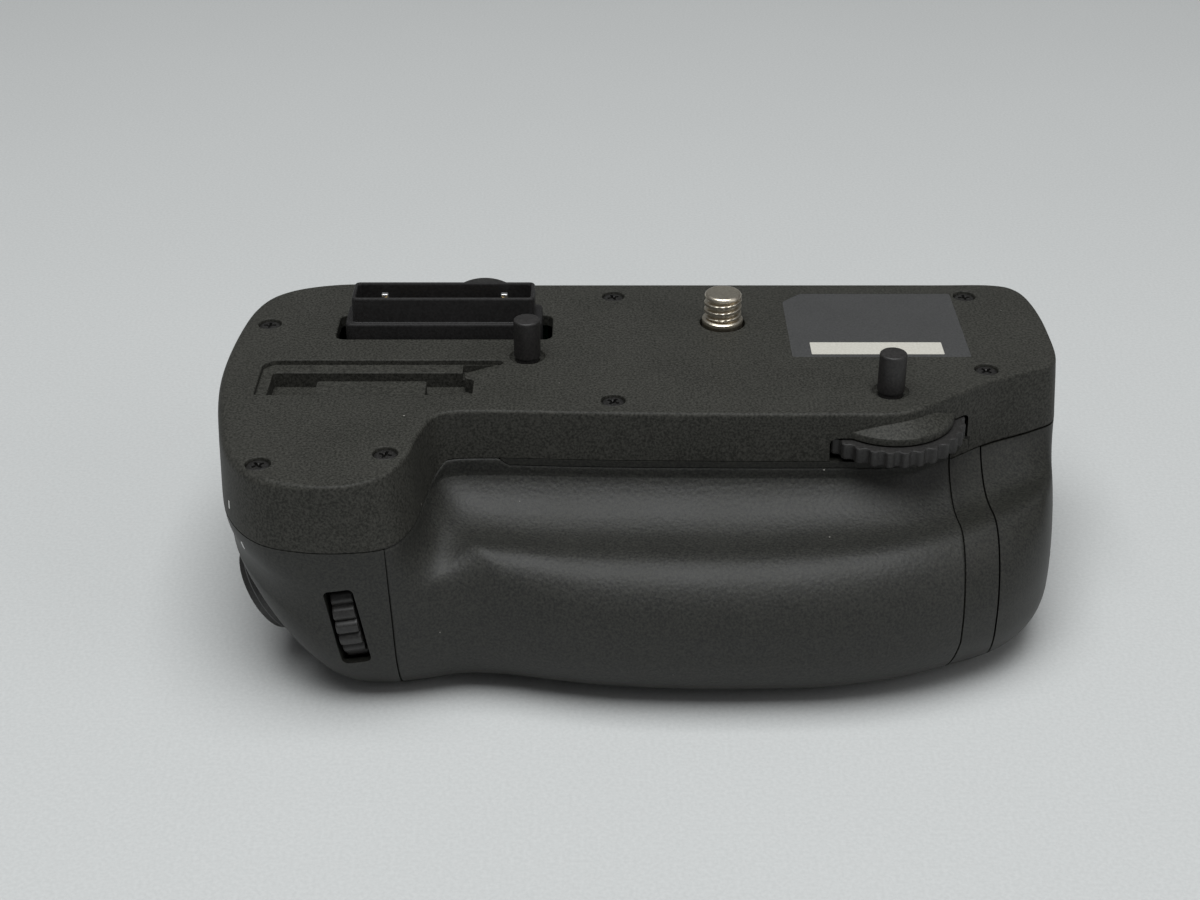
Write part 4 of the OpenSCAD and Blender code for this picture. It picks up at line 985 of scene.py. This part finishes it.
@dataclass
class CoverScrews:
    """Seven countersunk cross-head screws of the cover."""

    cover: TopCover
    head: float = 1.75
    low: float = 40.5
    top: float = 41.2
    recess: float = 0.6

    def template(self) -> Form:
        """One screw about the Z axis, at its own height."""
        dome = [(0, self.top - 8), (0.9, self.top - 7.6), (1.0, self.low), (self.head - 0.1, self.low),
                (self.head, self.low + 0.1), (self.head, self.top - 0.22), (self.head - 0.2, self.top - 0.06),
                (self.head - 0.5, self.top), (0, self.top + 0.04)]
        body = Form.turned(dome, 40)
        floor, clear = self.top - self.recess, self.top + 1
        arms = [Form.prism(round_box(x, y, 0.1, 2), floor, clear) for x, y in ((2.1, 0.5), (0.5, 2.1))]
        cone = Form.turned([(0, floor), (0.55, self.top), (0.55, clear), (0, clear)], 16)
        return body.cut(Cut.TAKE, *arms, cone)

    def build(self) -> None:
        """Makes the screws."""
        sites = [(x, y, 0.0) for x, y in self.cover.screw_sites]
        made = SiteCopies().at(self.template(), sites, math.radians(37), BLACK_STEEL)
        made.piece("cover_screw_set", Body.CASE, "black_screw", BLACK_STEEL, ["cover_screws"])


@dataclass
class LowerBody:
    """Lower shell with the hand grip, and the rubber that is set into it."""

    case: CaseForm
    shell: float = 2.4
    rubber: float = 0.9
    left: tuple[float, float] = (L + 29.2, L + 30.3)
    right: tuple[float, float] = (35.6, 34.1)
    low: float = 2.6
    right_turn: float = 10.6
    # Bare strip below the fascia: its height, where it starts and the length over which it grows
    strip: float = 1.1
    strip_x: float = -37.0
    strip_run: float = 1.6
    # Where the upper edge leaves the seam, and the length of its climb to the lip
    climb_x: float = L + 34.6
    climb_run: float = 2.6
    roll: float = 0.45
    # Stations of the case that the rubber lies between
    stations: tuple[int, int] = (18, 32)

    def left_x(self, z: np.ndarray) -> np.ndarray:
        """Left edge of the rubber at height z."""
        return self.left[1] + (self.left[0] - self.left[1]) * (z - self.low) / (LIP_Z + 1 - self.low)

    def right_x(self, z: np.ndarray) -> np.ndarray:
        """Right edge of the rubber at height z."""
        share = np.clip((z - self.low) / (self.right_turn - self.low), 0, 1)
        return self.right[1] + (self.right[0] - self.right[1]) * share

    def top_v(self, x: float) -> float:
        """Where the rubber ends: at the seam, up the lip's slanted end, then below the bare strip."""
        climb = min(max((x - self.climb_x) / self.climb_run, 0.005), 1.0)
        share = min(max((x - self.strip_x) / self.strip_run, 0.0), 1.0)
        return 2.0 + climb - share * self.strip / (LIP_Z - SEAM_Z)

    def span(self, v: float, grow: float) -> np.ndarray:
        """Stretch of a row between the rubber's two side edges.

        Args:
            v: Place of the row.
            grow: Distance that the stretch passes the edges by.

        Returns:
            Points from the left edge to the right one, close together near the edges.
        """
        first_station, last_station = self.stations
        line = self.case.row(v)[first_station * self.case.steps:last_station * self.case.steps]
        x, z = line[:, 0], line[:, 2]
        start = int(np.argmax(x > self.left_x(z) - grow))
        end = len(x) - 1 - int(np.argmax((x < self.right_x(z) + grow)[::-1]))

        def crossing(i: int, gap: np.ndarray) -> np.ndarray:
            """Point between i and i + 1 at which the gap is 0."""
            return line[i] + (line[i + 1] - line[i]) * gap[i] / (gap[i] - gap[i + 1])

        first = crossing(start - 1, x - self.left_x(z) + grow)
        last = crossing(end, x - self.right_x(z) - grow)
        run = np.vstack([first, line[start:end + 1], last])
        length = np.concatenate([[0], np.cumsum(np.linalg.norm(np.diff(run, axis=0), axis=1))])
        near = np.array([0, 0.1, 0.22, 0.4, 0.7, 1.2])
        at = np.concatenate([near, np.linspace(2.2, length[-1] - 2.2, 110), length[-1] - near[::-1]])
        return np.column_stack([np.interp(at, length, run[:, k]) for k in range(3)])

    def patch(self, grow: float) -> np.ndarray:
        """Grid of points over the rubber's area, on the case's skin.

        Args:
            grow: Distance that the grid passes the rubber's edges by.

        Returns:
            Rows of points from the base up.
        """
        first = 2 / math.pi * math.acos(1 - (self.low - grow) / self.case.shelf_foot)
        low = first + np.array([0, 0.005, 0.012, 0.022, 0.04])
        places = [*low, *np.linspace(low[-1] + 0.03, 1, 12)[:-1], *np.linspace(1, 2, 52)]
        rows = [self.span(v, grow) for v in places]
        foot = self.span(2.0, grow)
        high = np.array([self.top_v(x) for x in foot[:, 0]])
        over = np.where(foot[:, 0] < self.strip_x, grow * 6, grow)
        for share in (0.25, 0.5, 0.72, 0.84, 0.92, 0.97, 1.0):
            ring = foot.copy()
            ring[:, 2] = SEAM_Z + share * ((LIP_Z - SEAM_Z) * (high - 2) + over)
            rows.append(ring)
        return np.array(rows)

    @staticmethod
    def outward(grid: np.ndarray) -> np.ndarray:
        """Unit normals of a grid of points, away from the case."""
        normal = np.cross(np.gradient(grid, axis=1), np.gradient(grid, axis=0))
        return normal / np.linalg.norm(normal, axis=2)[:, :, None]

    @staticmethod
    def slab(outer: np.ndarray, inner: np.ndarray) -> Form:
        """Closed form between two grids of equal size."""
        rows, columns = outer.shape[:2]
        count = rows * columns
        faces = []
        for j in range(rows - 1):
            for i in range(columns - 1):
                a, b = j * columns + i, (j + 1) * columns + i
                faces.append((a, a + 1, b + 1, b))
                faces.append((count + a, count + b, count + b + 1, count + a + 1))
        rim = [*range(columns - 1), *range(columns - 1, count - 1, columns),
               *range(count - 1, count - columns, -1), *range(count - columns, 0, -columns)]
        for a, b in zip(rim, rim[1:] + rim[:1]):
            faces.append((a, count + a, count + b, b))
        return Form.of_faces(np.concatenate([outer.reshape(-1, 3), inner.reshape(-1, 3)]), faces)

    def skin(self) -> Form:
        """The rubber, with edges that roll down into the recess."""
        grid = self.patch(0.0)
        normal = self.outward(grid)
        across = np.linalg.norm(np.diff(grid, axis=1), axis=2)
        along = np.linalg.norm(np.diff(grid, axis=0), axis=2)
        left = np.pad(np.cumsum(across, axis=1), ((0, 0), (1, 0)))
        low = np.pad(np.cumsum(along, axis=0), ((1, 0), (0, 0)))
        edge = np.minimum.reduce([left, left[:, -1:] - left, low, low[-1:] - low])
        near = np.clip(1 - edge / self.roll, 0, 1)
        drop = self.roll * (1 - np.sqrt(1 - near ** 2))
        return self.slab(grid - normal * drop[:, :, None], grid - normal * (self.rubber - 0.02))

    def recess(self) -> Form:
        """Cutter of the recess that the rubber lies in."""
        grid = self.patch(0.06)
        normal = self.outward(grid)
        return self.slab(grid + normal * 1.2, grid - normal * self.rubber)

    def seam_cutters(self) -> list[Form]:
        """Cutters that end the shell at the cover's seam, apart from the lip below the fascia."""
        left = np.array([(L - 10, SEAM_Z), (L + 34.9, SEAM_Z), (L + 37.5, LIP_Z), (L + 37.5, 45),
                         (L - 10, 45)])
        return [Form.block(L - 10, R + 10, F + 8, E + 10, SEAM_Z, 45),
                Form.prism(left, -F - 8, -G + 10).place(Facing.FRONT.at(0, 0, 0)),
                Form.block(LIP_X1, R + 10, G - 10, F + 8, SEAM_Z, 45)]

    def chamber(self) -> Form:
        """Cutter of the battery chamber."""
        outline = rounded([(-43.6, 6.5), (-38.5, 1.4), (-5.0, 1.4), (-5.0, 22.4), (-41.6, 22.4),
                           (-43.6, 20.4)], 0.6)
        # Stands the outline upright across the case, so that the prism runs along X
        turn = Matrix(((0, 0, 1, 0), (1, 0, 0, 0), (0, 1, 0, 0), (0, 0, 0, 1)))
        return Form.prism(outline, -40.5, DRAWER_X + 3).place(turn)

    def build(self) -> None:
        """Makes the shell and its rubber."""
        hollow = self.case.inside(self.shell)
        hollow.cut(Cut.TAKE, Form.block(DRAWER_X - 1.6, R + 10, G - 5, E + 5, -1, 50),
                   Form.block(-41.7, DRAWER_X, -44.8, -3.8, -1, 23.6))
        shell = self.case.solid().cut(Cut.TAKE, hollow, *self.seam_cutters(),
                                      Form.block(DRAWER_X, R + 10, G - 10, E + 10, -5, 50))
        shelf = np.array([(40.2, -20), (43.5, -19), (46.5, -14.5), (46.5, 12), (40.2, 12.4)])
        posts = posts_at(((43, 10.5), (42.2, -17.6)), 2.3, 28.2, 39.3, 0.2)
        bush = capped_rod(5.8, 0.3, 10.2, 0.2, 40)
        shell.cut(Cut.JOIN, Form.prism(shelf, 28.2, SEAM_Z), posts[0].beside(posts[1]), bush)
        shell.cut(Cut.TAKE, self.chamber(), self.recess(), *self.control_cutters())
        shell.piece("lower_shell", Body.CASE, "body", LOWER_PLASTIC, ["main_body"])
        self.skin().piece("grip_skin", Body.CASE, "rubber", GRIP_RUBBER, ["grip_rubber"], 50.0)
        pad = stepped_box(33, 16.4, 4, [(0.0, 14.82), (0.0, 15.35), (0.12, 15.6), (0.4, 15.78), (1.2, 15.9),
                                        (3.0, 15.97)])
        pad.place(THUMB_FRAME)
        pad.piece("thumb_pad", Body.CASE, "rubber", GRIP_RUBBER, ["thumb_rubber"])

    def control_cutters(self) -> list[Form]:
        """Cutters of the holes that the controls sit in."""
        made = [Form.rod(8.65, -12, 12).place(ShutterControl.place())]
        for dial in Dial.both():
            made += dial.window()
        made.append(bore(3.18, E - 6, E + 0.05, 0.2).place(Facing.BACK.at(LOCK_X, 0, LOCK_Z)))
        made.append(bore(8.08, -6, 0.05, 0.25).place(SELECTOR_FRAME))
        made.append(Form.prism(round_box(33.24, 16.64, 4.12), E - 0.6, E + 2).place(THUMB_FRAME))
        made.append(bore(4.45, -9, 0, 0.25).place(Matrix.Rotation(math.pi, 4, "X")))
        return made


@dataclass
class CameraMount:
    """Mounting screw, its wheel, the two locating pins and the tripod bush."""

    crest: float = 3.175
    root: float = 2.5
    pitch: float = 1.27
    wheel_radius: float = 12.3
    notches: int = 30
    notch: float = 0.6

    @staticmethod
    def thread(outer: float, inner: float, pitch: float, low: float, high: float,
               fade: float) -> list[np.ndarray]:
        """Rings of a helical thread about the Z axis.

        Args:
            outer: Radius on the ridge.
            inner: Radius in the groove.
            pitch: Rise of one turn.
            low: Height of the first ring.
            high: Height of the last ring.
            fade: Height over which the ridge runs out at each end.

        Returns:
            The rings, lowest first.
        """
        steps = 72
        angle = np.arange(steps) * 2 * math.pi / steps
        rings = []
        for z in np.arange(low, high + 1e-6, pitch / 18):
            phase = ((z - low) / pitch - angle / (2 * math.pi)) % 1
            side = np.clip((0.5 - np.abs(phase - 0.5)) * 4.2 - 0.45, 0, 1)
            ridge = side * side * (3 - 2 * side)
            run = min(1.0, (z - low) / fade, (high - z) / fade)
            radius = inner + (outer - inner) * ridge * run
            rings.append(np.column_stack([radius * np.cos(angle), radius * np.sin(angle), np.full(steps, z)]))
        return rings

    def screw(self) -> Form:
        """Mounting screw with a cut thread, a flange at its foot and a pivot below."""
        def ring(r: float, z: float) -> np.ndarray:
            """Circle at a height."""
            return raised(circle(r, 72), z)

        foot = [(1.6, 28.3), (1.6, 29.9), (3.4, 29.9), (3.4, 34.1), (4.4, 34.1), (4.4, 34.7), (3.4, 34.7),
                (3.4, 41.5), (3.45, 41.7), (3.5, 42.0), (3.45, 42.3), (3.2, 42.5), (2.7, 42.6)]
        head = [(2.7, 46.3), (3.0, 46.36), (3.12, 46.5), (3.1, 46.75), (2.9, 47.0), (2.5, 47.1)]
        thread = self.thread(self.crest, self.root, self.pitch, 42.65, 46.25, 0.3)
        return Form.loft([*[ring(r, z) for r, z in foot], *thread, *[ring(r, z) for r, z in head]])

    def rim(self, share: float) -> float:
        """Radius of the wheel's rim: a land and a hollow notch in each segment."""
        wave = math.cos(2 * math.pi * share)
        return self.wheel_radius - self.notch * (0.5 - 0.5 * min(max(wave * 1.5, -1), 1))

    def build(self) -> None:
        """Makes the mount's pieces."""
        self.screw().piece("mount_screw", Body.SCREW, "nickel", NICKEL, ["mounting_screw"], 40)
        pins = [("pin_left_turned", LEFT_PIN_SITE, 37.0, "locating_pin_left"),
                ("pin_right_turned", WHEEL_SITE, 28.3, "locating_pin_right")]
        for name, (x, y), low, node in pins:
            profile = [(0, low), (2, low), (2, 41.7), (2.2, 41.8), (2.2, 47.95), (2.14, 48.15), (2.0, 48.28),
                       (1.9, 48.3), (0, 48.3)]
            form = Form.turned(profile).place(Facing.UP.at(x, y, 0))
            form.piece(name, Body.CASE, "pin", PIN_PLASTIC, [node])
        rim = toothed(self.notches, self.rim, lambda r: [
            (3.0, 34.1), (r - 0.35, 34.1), (r - 0.1, 34.2), (r, 34.45), (r, 36.5), (r - 0.1, 36.78),
            (r - 0.4, 36.9), (3.0, 36.9)], CONTROL)
        gear = toothed(12, lambda s: 5.4 if 0.28 < s < 0.72 else 3.9, lambda r: [
            (3.0, 30.4), (r, 30.4), (r, 34.3), (3.0, 34.3)], CONTROL)
        hub = Form.turned([(2.05, 29.9), (3.8, 29.9), (3.8, 39.2), (2.05, 39.2)], 48, looped=True)
        wheel = rim.beside(gear, hub).place(Facing.UP.at(*WHEEL_SITE, 0))
        wheel.piece("wheel_turned", Body.WHEEL, "wheel", CONTROL, ["attachment_wheel"])
        socket = self.thread(2.6, 3.1, self.pitch, 0.5, 7.4, 0.4)
        outer = [(2.6, 7.6), (2.6, 7.8), (4.4, 9.0), (4.4, 0.25), (4.15, 0.0), (3.35, 0.0)]
        bush = Form.loft([*socket, *[raised(circle(r, 72), z) for r, z in outer]], looped=True)
        cap = Form.rod(2.7, 7.8, 8.4)
        bush.beside(cap).piece("tripod_socket_bush", Body.CASE, "steel", STEEL, ["tripod_bush"])


@dataclass
class Connector:
    """Tower with its slot, the contact row in it and the two clips."""

    x: float = TOWER_SITE[0]
    y: float = TOWER_SITE[1]
    floor: float = 42.3
    contacts: int = 16

    def build(self) -> None:
        """Makes the tower and what stands in it."""
        rings = [(33.0, 8.2, 1.0, 32.2), (33.0, 8.2, 1.0, 43.45), (32.9, 8.1, 0.95, 43.7),
                 (32.6, 7.8, 0.85, 43.88), (31.0, 7.2, 0.95, 43.9), (30.7, 6.9, 0.9, 44.0),
                 (30.6, 6.8, 0.9, 44.3), (30.6, 6.8, 0.9, 47.9), (30.5, 6.7, 0.85, 48.15),
                 (30.25, 6.45, 0.75, 48.3), (29.5, 5.7, 0.6, 48.3), (29.3, 5.5, 0.55, 48.15),
                 (29.2, 5.4, 0.5, 47.9), (29.2, 5.4, 0.5, 42.6), (29.0, 5.2, 0.45, self.floor)]
        tower = Form.loft([raised(round_box(w, d, r), z) for w, d, r, z in rings])
        tower.place(Facing.UP.at(self.x, self.y, 0))
        tower.piece("tower_shell", Body.CASE, "tower", TOWER_PLASTIC, ["connector_tower"])
        carrier = Form.prism(round_box(24.4, 1.6, 0.3), self.floor - 0.3, self.floor + 3.7, 0.2)
        carrier.place(Facing.UP.at(self.x, self.y, 0))
        carrier.piece("contact_carrier", Body.CASE, "tower", TOWER_PLASTIC)
        pitch = 22.6 / (self.contacts - 1)
        blade = Form.prism(round_box(0.6, 0.8, 0.15, 3), self.floor + 3.5, self.floor + 4.2, 0.12)
        row = StepCopies().along(blade, self.contacts, pitch, GOLD)
        row.place(Facing.UP.at(self.x - 11.3, self.y, 0))
        row.piece("contact_blades", Body.CASE, "contact", GOLD, ["connector_contacts"])
        clip = Form.prism(round_box(1.2, 1.0, 0.25, 3), self.floor - 1.4, self.floor + 4.9, 0.2)
        pair = StepCopies().along(clip, 2, 20.2, CLIP_METAL)
        pair.place(Facing.UP.at(self.x - 10.1, self.y + 1.2, 0))
        pair.piece("connector_clip_pair", Body.CASE, "clip", CLIP_METAL, ["connector_clips"])


@dataclass
class Label:
    """Rating label on the plate, bare, with a blank pale strip."""

    cover: TopCover
    low: float = 41.3
    strip: tuple[float, float, float, float] = (14.2, 36.2, -12.2, -7.8)

    def build(self) -> None:
        """Makes the film and the strip."""
        film = Form.prism(rounded(self.cover.label, 0.45), self.low, self.low + 0.18)
        film.piece("label_film", Body.CASE, "label", LABEL_FILM, ["rating_label"])
        x0, x1, y0, y1 = self.strip
        strip = Form.prism(round_box(x1 - x0, y1 - y0, 0.15, 3), self.low + 0.18, self.low + 0.21)
        strip.place(Facing.UP.at((x0 + x1) / 2, (y0 + y1) / 2, 0))
        strip.piece("label_strip", Body.CASE, "label", STRIP_FILM)


@dataclass
class IndexMarks:
    """Two white index marks on the shutter end, one above the cover's seam and one below it."""

    case: CaseForm
    wide: float = 0.5
    tall: float = 1.3
    upper: tuple[float, float, float] = (-77.77, -46.3, 33.0)
    lower: tuple[float, float, float] = (-75.78, -49.77, 27.75)

    def mark(self, site: tuple[float, float, float], low: np.ndarray, high: np.ndarray) -> Form:
        """One mark, as a thin film on the wall.

        Args:
            site: Where the mark lies.
            low: Row of the case below the mark.
            high: Row above it, with the same columns.

        Returns:
            The mark.
        """
        share = (site[2] - low[:, 2]) / (high[:, 2] - low[:, 2])
        line = low + (high - low) * share[:, None]
        i = int(np.argmin(np.linalg.norm(line - np.array(site), axis=1)))
        up = Vector(high[i] - low[i]).normalized()
        side = Vector(line[i + 1] - line[i - 1]).normalized()
        turn = Matrix((side, up, side.cross(up))).transposed().to_4x4()
        film = Form.prism(round_box(self.wide, self.tall, 0.1, 2), -0.05, 0.04)
        return film.place(Matrix.Translation(line[i]) @ turn)

    def build(self) -> None:
        """Makes the marks."""
        case = self.case
        above = self.mark(self.upper, raised(case.seam, SEAM_Z), raised(case.top, CASE_TOP))
        below = self.mark(self.lower, case.row(1.65), case.row(1.75))
        above.beside(below).piece("index_marks", Body.CASE, "label", MARK_PAINT)


@dataclass
class Drawer:
    """End of the battery drawer with its dish, and the latch knob in it."""

    case: CaseForm
    start: float = DRAWER_X + 0.3
    top: float = 30.0
    knob_y: float = -12.0
    knob_z: float = 15.5
    dish: float = 52.4

    def build(self) -> None:
        """Makes the drawer end and the knob."""
        end = self.case.solid().cut(Cut.KEEP, Form.block(self.start, R + 10, G - 10, E + 10, -5, self.top))
        hollow = self.case.inside(2.2)
        backing = Form.rod(10.8, 0, 12)
        hollow.cut(Cut.TAKE, Form.block(-100, self.start + 1.6, G - 10, E + 10, -5, 50),
                   backing.place(Facing.RIGHT.at(self.dish - 3.4, self.knob_y, self.knob_z)))
        shelf = Form.block(self.start - 1, self.start + 1.7, -20.3, 13.4, 27.9, 50)
        dish = Form.turned([(0, 0), (9.3, 0), (9.3, 1.6), (9.5, 2.2), (9.9, 3.2), (9.9, 9), (0, 9)])
        axle = Form.rod(2.45, -12, 1, 40)
        spot = Facing.RIGHT.at(self.dish, self.knob_y, self.knob_z)
        end.cut(Cut.TAKE, hollow, shelf, dish.place(spot), axle.place(spot))
        end.piece("drawer_end", Body.HOLDER, "body", LOWER_PLASTIC, ["holder_cap"])
        disc = capped_rod(8.8, 0.2, 1.6, 0.35)
        bar = stepped_box(15.6, 3.0, 1.2, [(0.0, 1.5), (0.0, 2.55), (0.12, 2.8), (0.4, 2.98), (0.7, 3.0)])
        knob = disc.cut(Cut.JOIN, bar)
        knob.place(spot)
        knob.piece("latch_grip", Body.LATCH, "control", CONTROL, ["latch_knob"])


@dataclass
class ShutterControl:
    """Shutter button with its collar and its lock ring, on the sloping face."""

    @staticmethod
    def place() -> Matrix:
        """Frame whose Z axis leaves the sloping face."""
        return Matrix.Translation((L + 9.1, D + 18.4, 12.9)) @ Matrix.Rotation(math.radians(-120), 4, "Y")

    def build(self) -> None:
        """Makes the collar, the ring and the button."""
        collar = Form.turned([(2.25, -2.9), (4.9, -2.9), (4.9, -0.9), (7.8, -0.9), (7.8, 0.1), (8.0, 0.3),
                              (8.4, 0.3), (8.6, 0.05), (8.6, -5.0), (7.6, -5.0), (7.6, -7.6), (6.6, -7.6),
                              (6.6, -4.4), (2.25, -4.4)], 72, looped=True)
        collar.place(self.place())
        collar.piece("shutter_surround", Body.CASE, "control", CONTROL, ["shutter_collar"])
        ring = Form.turned([(5.0, -0.7), (7.5, -0.7), (7.5, 1.4), (7.35, 1.7), (7.0, 1.8), (5.4, 1.8),
                            (5.15, 1.7), (5.0, 1.4)], 72, looped=True)
        outline = rounded([(-11.5, -1.7), (-6.2, -2.4), (-6.2, 2.4), (-11.5, 1.7)], 1.5)
        lever = Form.prism(outline, 0.7, 1.8, 0.25)
        ring.cut(Cut.JOIN, lever).place(self.place())
        ring.piece("shutter_lock_ring", Body.SHUTTER_LOCK, "control", CONTROL, ["shutter_ring"])
        button = Form.turned([(0, -4.6), (2.2, -4.6), (2.2, -0.5), (4.6, -0.5), (4.6, 1.9), (4.45, 2.3),
                              (4.1, 2.55), (3.6, 2.6), (2.4, 2.5), (1.2, 2.42), (0, 2.4)], 72)
        button.place(self.place())
        button.piece("shutter_cap", Body.SHUTTER, "gloss", BUTTON_GLOSS, ["shutter_button"])


@dataclass
class Dial:
    """Ridged control dial behind a window in the wall."""

    name: str
    node: str
    body: Body
    centre: tuple[float, float, float]
    radius: float
    thick: float
    tilt: float
    tall: float
    side: int
    ridges: int = 22

    @classmethod
    def both(cls) -> list["Dial"]:
        """The front dial and the rear one."""
        return [cls("front_dial_wheel", "front_dial", Body.FRONT_WHEEL, (L + 23, D + 9.1, 16.3),
                    radius=9.3, thick=3.6, tilt=-9, tall=14.2, side=-1),
                cls("rear_dial_wheel", "rear_dial", Body.REAR_WHEEL, (L + 16.6, E - 7.8, 17),
                    radius=9.0, thick=5.0, tilt=0, tall=13.0, side=1)]

    def frame(self) -> Matrix:
        """Frame about the dial's centre, with X along its axle."""
        return Matrix.Translation(self.centre) @ Matrix.Rotation(math.radians(self.tilt), 4, "Y")

    def window(self) -> list[Form]:
        """Cutters of the dial's room and of its window."""
        wide = self.thick + 1.0
        facing = Facing.BACK if self.side > 0 else Facing.FRONT
        slot = Form.prism(round_box(wide, self.tall, 0.9), self.radius - 4, self.radius + 8)
        room = Form.rod(self.radius + 0.5, -wide / 2, wide / 2)
        return [slot.place(facing.at(0, 0, 0)).place(self.frame()),
                room.place(Facing.RIGHT.at(0, 0, 0)).place(self.frame())]

    def edge(self, share: float) -> float:
        """Outer radius: a rounded ridge and a narrow groove in each segment."""
        away = abs(share - 0.5) * 2
        return self.radius - 0.75 * max(0.0, (away - 0.35) / 0.65) ** 1.6

    def build(self) -> None:
        """Makes the dial."""
        half = self.thick / 2
        ring = toothed(self.ridges, self.edge, lambda r: [
            (1.06, -half), (r - 0.5, -half), (r - 0.15, -half + 0.12), (r, -half + 0.45), (r, half - 0.45),
            (r - 0.15, half - 0.12), (r - 0.5, half), (1.06, half)], CONTROL, 12)
        ring.place(Facing.RIGHT.at(0, 0, 0)).place(self.frame())
        ring.piece(self.name, self.body, "control", CONTROL, [self.node])


@dataclass
class RearControls:
    """Multi selector and lock button on the rear wall."""

    def build(self) -> None:
        """Makes the selector's boss and pad, and the lock button."""
        boss = Form.turned([(5.0, -2.8), (8.0, -2.8), (8.0, 0.9), (8.6, 1.3), (8.7, 2.8), (8.55, 3.3),
                            (8.1, 3.6), (7.5, 3.6), (7.2, 3.4), (7.2, 1.2), (5.0, 1.2)], 72, looped=True)
        boss.place(SELECTOR_FRAME)
        boss.piece("selector_surround", Body.CASE, "control", CONTROL, ["selector_boss", "selector_collar"])
        pad = Form.turned([(0, 2.2), (6.4, 2.2), (6.4, 3.5), (6.25, 3.85), (5.8, 4.1), (4.6, 4.75),
                           (4.2, 4.95), (3.6, 5.0), (2.2, 4.85), (1.0, 4.75), (0, 4.72)], 72)
        pad.place(SELECTOR_FRAME)
        pad.piece("selector_cap", Body.PAD, "control", CONTROL, ["selector_pad"])
        lock = Form.turned([(0, -4.6), (3.1, -4.6), (3.1, -4.2), (3.9, -4.2), (3.9, -3.2), (3.1, -3.2),
                            (3.1, 1.1), (2.95, 1.4), (2.6, 1.5), (1.2, 1.42), (0, 1.4)], 48)
        lock.place(Facing.BACK.at(LOCK_X, E, LOCK_Z))
        lock.piece("lock_cap", Body.LOCK, "control", CONTROL, ["lock_button"])


@dataclass
class InnerParts:
    """CAD nodes that stay as they are and get a finish."""

    finishes: dict[str, Finish] = field(default_factory=lambda: {
        "sheet": SHEET, "steel": STEEL, "bronze": BRONZE, "gear": GEAR, "board": CIRCUIT, "contact": GOLD,
        "tray": TRAY_PLASTIC, "pack": PACK_PLASTIC, "switch": SWITCH_PLASTIC})

    def build(self) -> None:
        """Gives each node that is still shown the finish of its slot."""
        for entry in frame["record"]["subparts"]:
            finish = self.finishes.get(entry["material_slot"], CONTROL)
            for place in frame["nodes"][entry["node"]].material_slots:
                place.material = finish.material()
            LOG.info("%s: %s", entry["node"], finish.name)


@dataclass
class Studio:
    """Pale paper sweep, soft lamps and the camera."""

    lens: float = 60.0
    eye: tuple[float, float, float] = (-0.0209, -0.3083, 0.1908)
    pitch: float = 60.5

    def paper(self) -> None:
        """Floor that bends up into a backdrop far behind the object."""
        bendy = [(-1.6, 0.0), (1.0, 0.0)]
        bendy += [(1.0 + 0.6 * math.sin(a), 0.6 - 0.6 * math.cos(a)) for a in np.radians(range(10, 91, 10))]
        bendy.append((1.6, 2.2))
        points = [(x, y, z) for y, z in bendy for x in (-2.0, 2.0)]
        faces = [(2 * k, 2 * k + 1, 2 * k + 3, 2 * k + 2) for k in range(len(bendy) - 1)]
        mesh = bpy.data.meshes.new("paper_sweep")
        mesh.from_pydata(points, [], faces)
        mesh.shade_smooth()
        paper = Finish("backdrop_paper", (0.61, 0.62, 0.615), (0.56, 0.57, 0.565), 0.9, gloss=0.1, blotch=10,
                       grain=1600, relief=0.08)
        mesh.materials.append(paper.material())
        shown("paper_sweep", mesh)

    def lamp(self, name: str, size: float, power: float, place: tuple[float, float, float],
             turn: tuple[float, float, float], colour: Colour = (1, 1, 1)) -> None:
        """Adds a soft area lamp.

        Args:
            name: Name of the lamp.
            size: Side of the lamp in metres.
            power: Power in watts.
            place: Where it stands.
            turn: Its angles in degrees.
            colour: Colour of its light.
        """
        data = bpy.data.lights.new(name, "AREA")
        data.shape, data.size, data.energy, data.color = "SQUARE", size, power, colour
        obj = bpy.data.objects.new(name, data)
        obj.location = place
        obj.rotation_euler = [math.radians(a) for a in turn]
        bpy.context.scene.collection.objects.link(obj)

    def build(self) -> None:
        """Sets up the sweep, the light and the camera."""
        scene = bpy.context.scene
        scene.view_settings.view_transform = "Standard"
        self.paper()
        self.lamp("overhead", 0.8, 11.2, (-0.06, -0.24, 1.0), (4, 0, 0), (0.97, 0.99, 1))
        self.lamp("side_fill", 0.7, 1.6, (0.9, -0.5, 0.6), (60, 0, 60))
        world = bpy.data.worlds.new("room")
        world.use_nodes = True
        back = world.node_tree.nodes["Background"]
        back.inputs["Color"].default_value = (0.84, 0.84, 0.86, 1)
        back.inputs["Strength"].default_value = 0.13
        scene.world = world
        data = bpy.data.cameras.new("camera")
        data.lens, data.sensor_width, data.sensor_fit = self.lens, 36.0, "HORIZONTAL"
        camera = bpy.data.objects.new("camera", data)
        camera.location = self.eye
        camera.rotation_euler = (math.radians(self.pitch), 0, 0)
        scene.collection.objects.link(camera)
        scene.camera = camera


def main() -> None:
    """Builds every sub-assembly in order."""
    logging.basicConfig(level=logging.INFO, format="%(name)s %(message)s")
    case = CaseForm()
    cover = TopCover(case)
    parts = [InnerParts(), cover, CoverScrews(cover), LowerBody(case), CameraMount(), Connector(),
             Label(cover), IndexMarks(case), Drawer(case), ShutterControl(), *Dial.both(), RearControls(),
             Studio()]
    for part in parts:
        part.build()


if __name__ == "__main__":
    main()
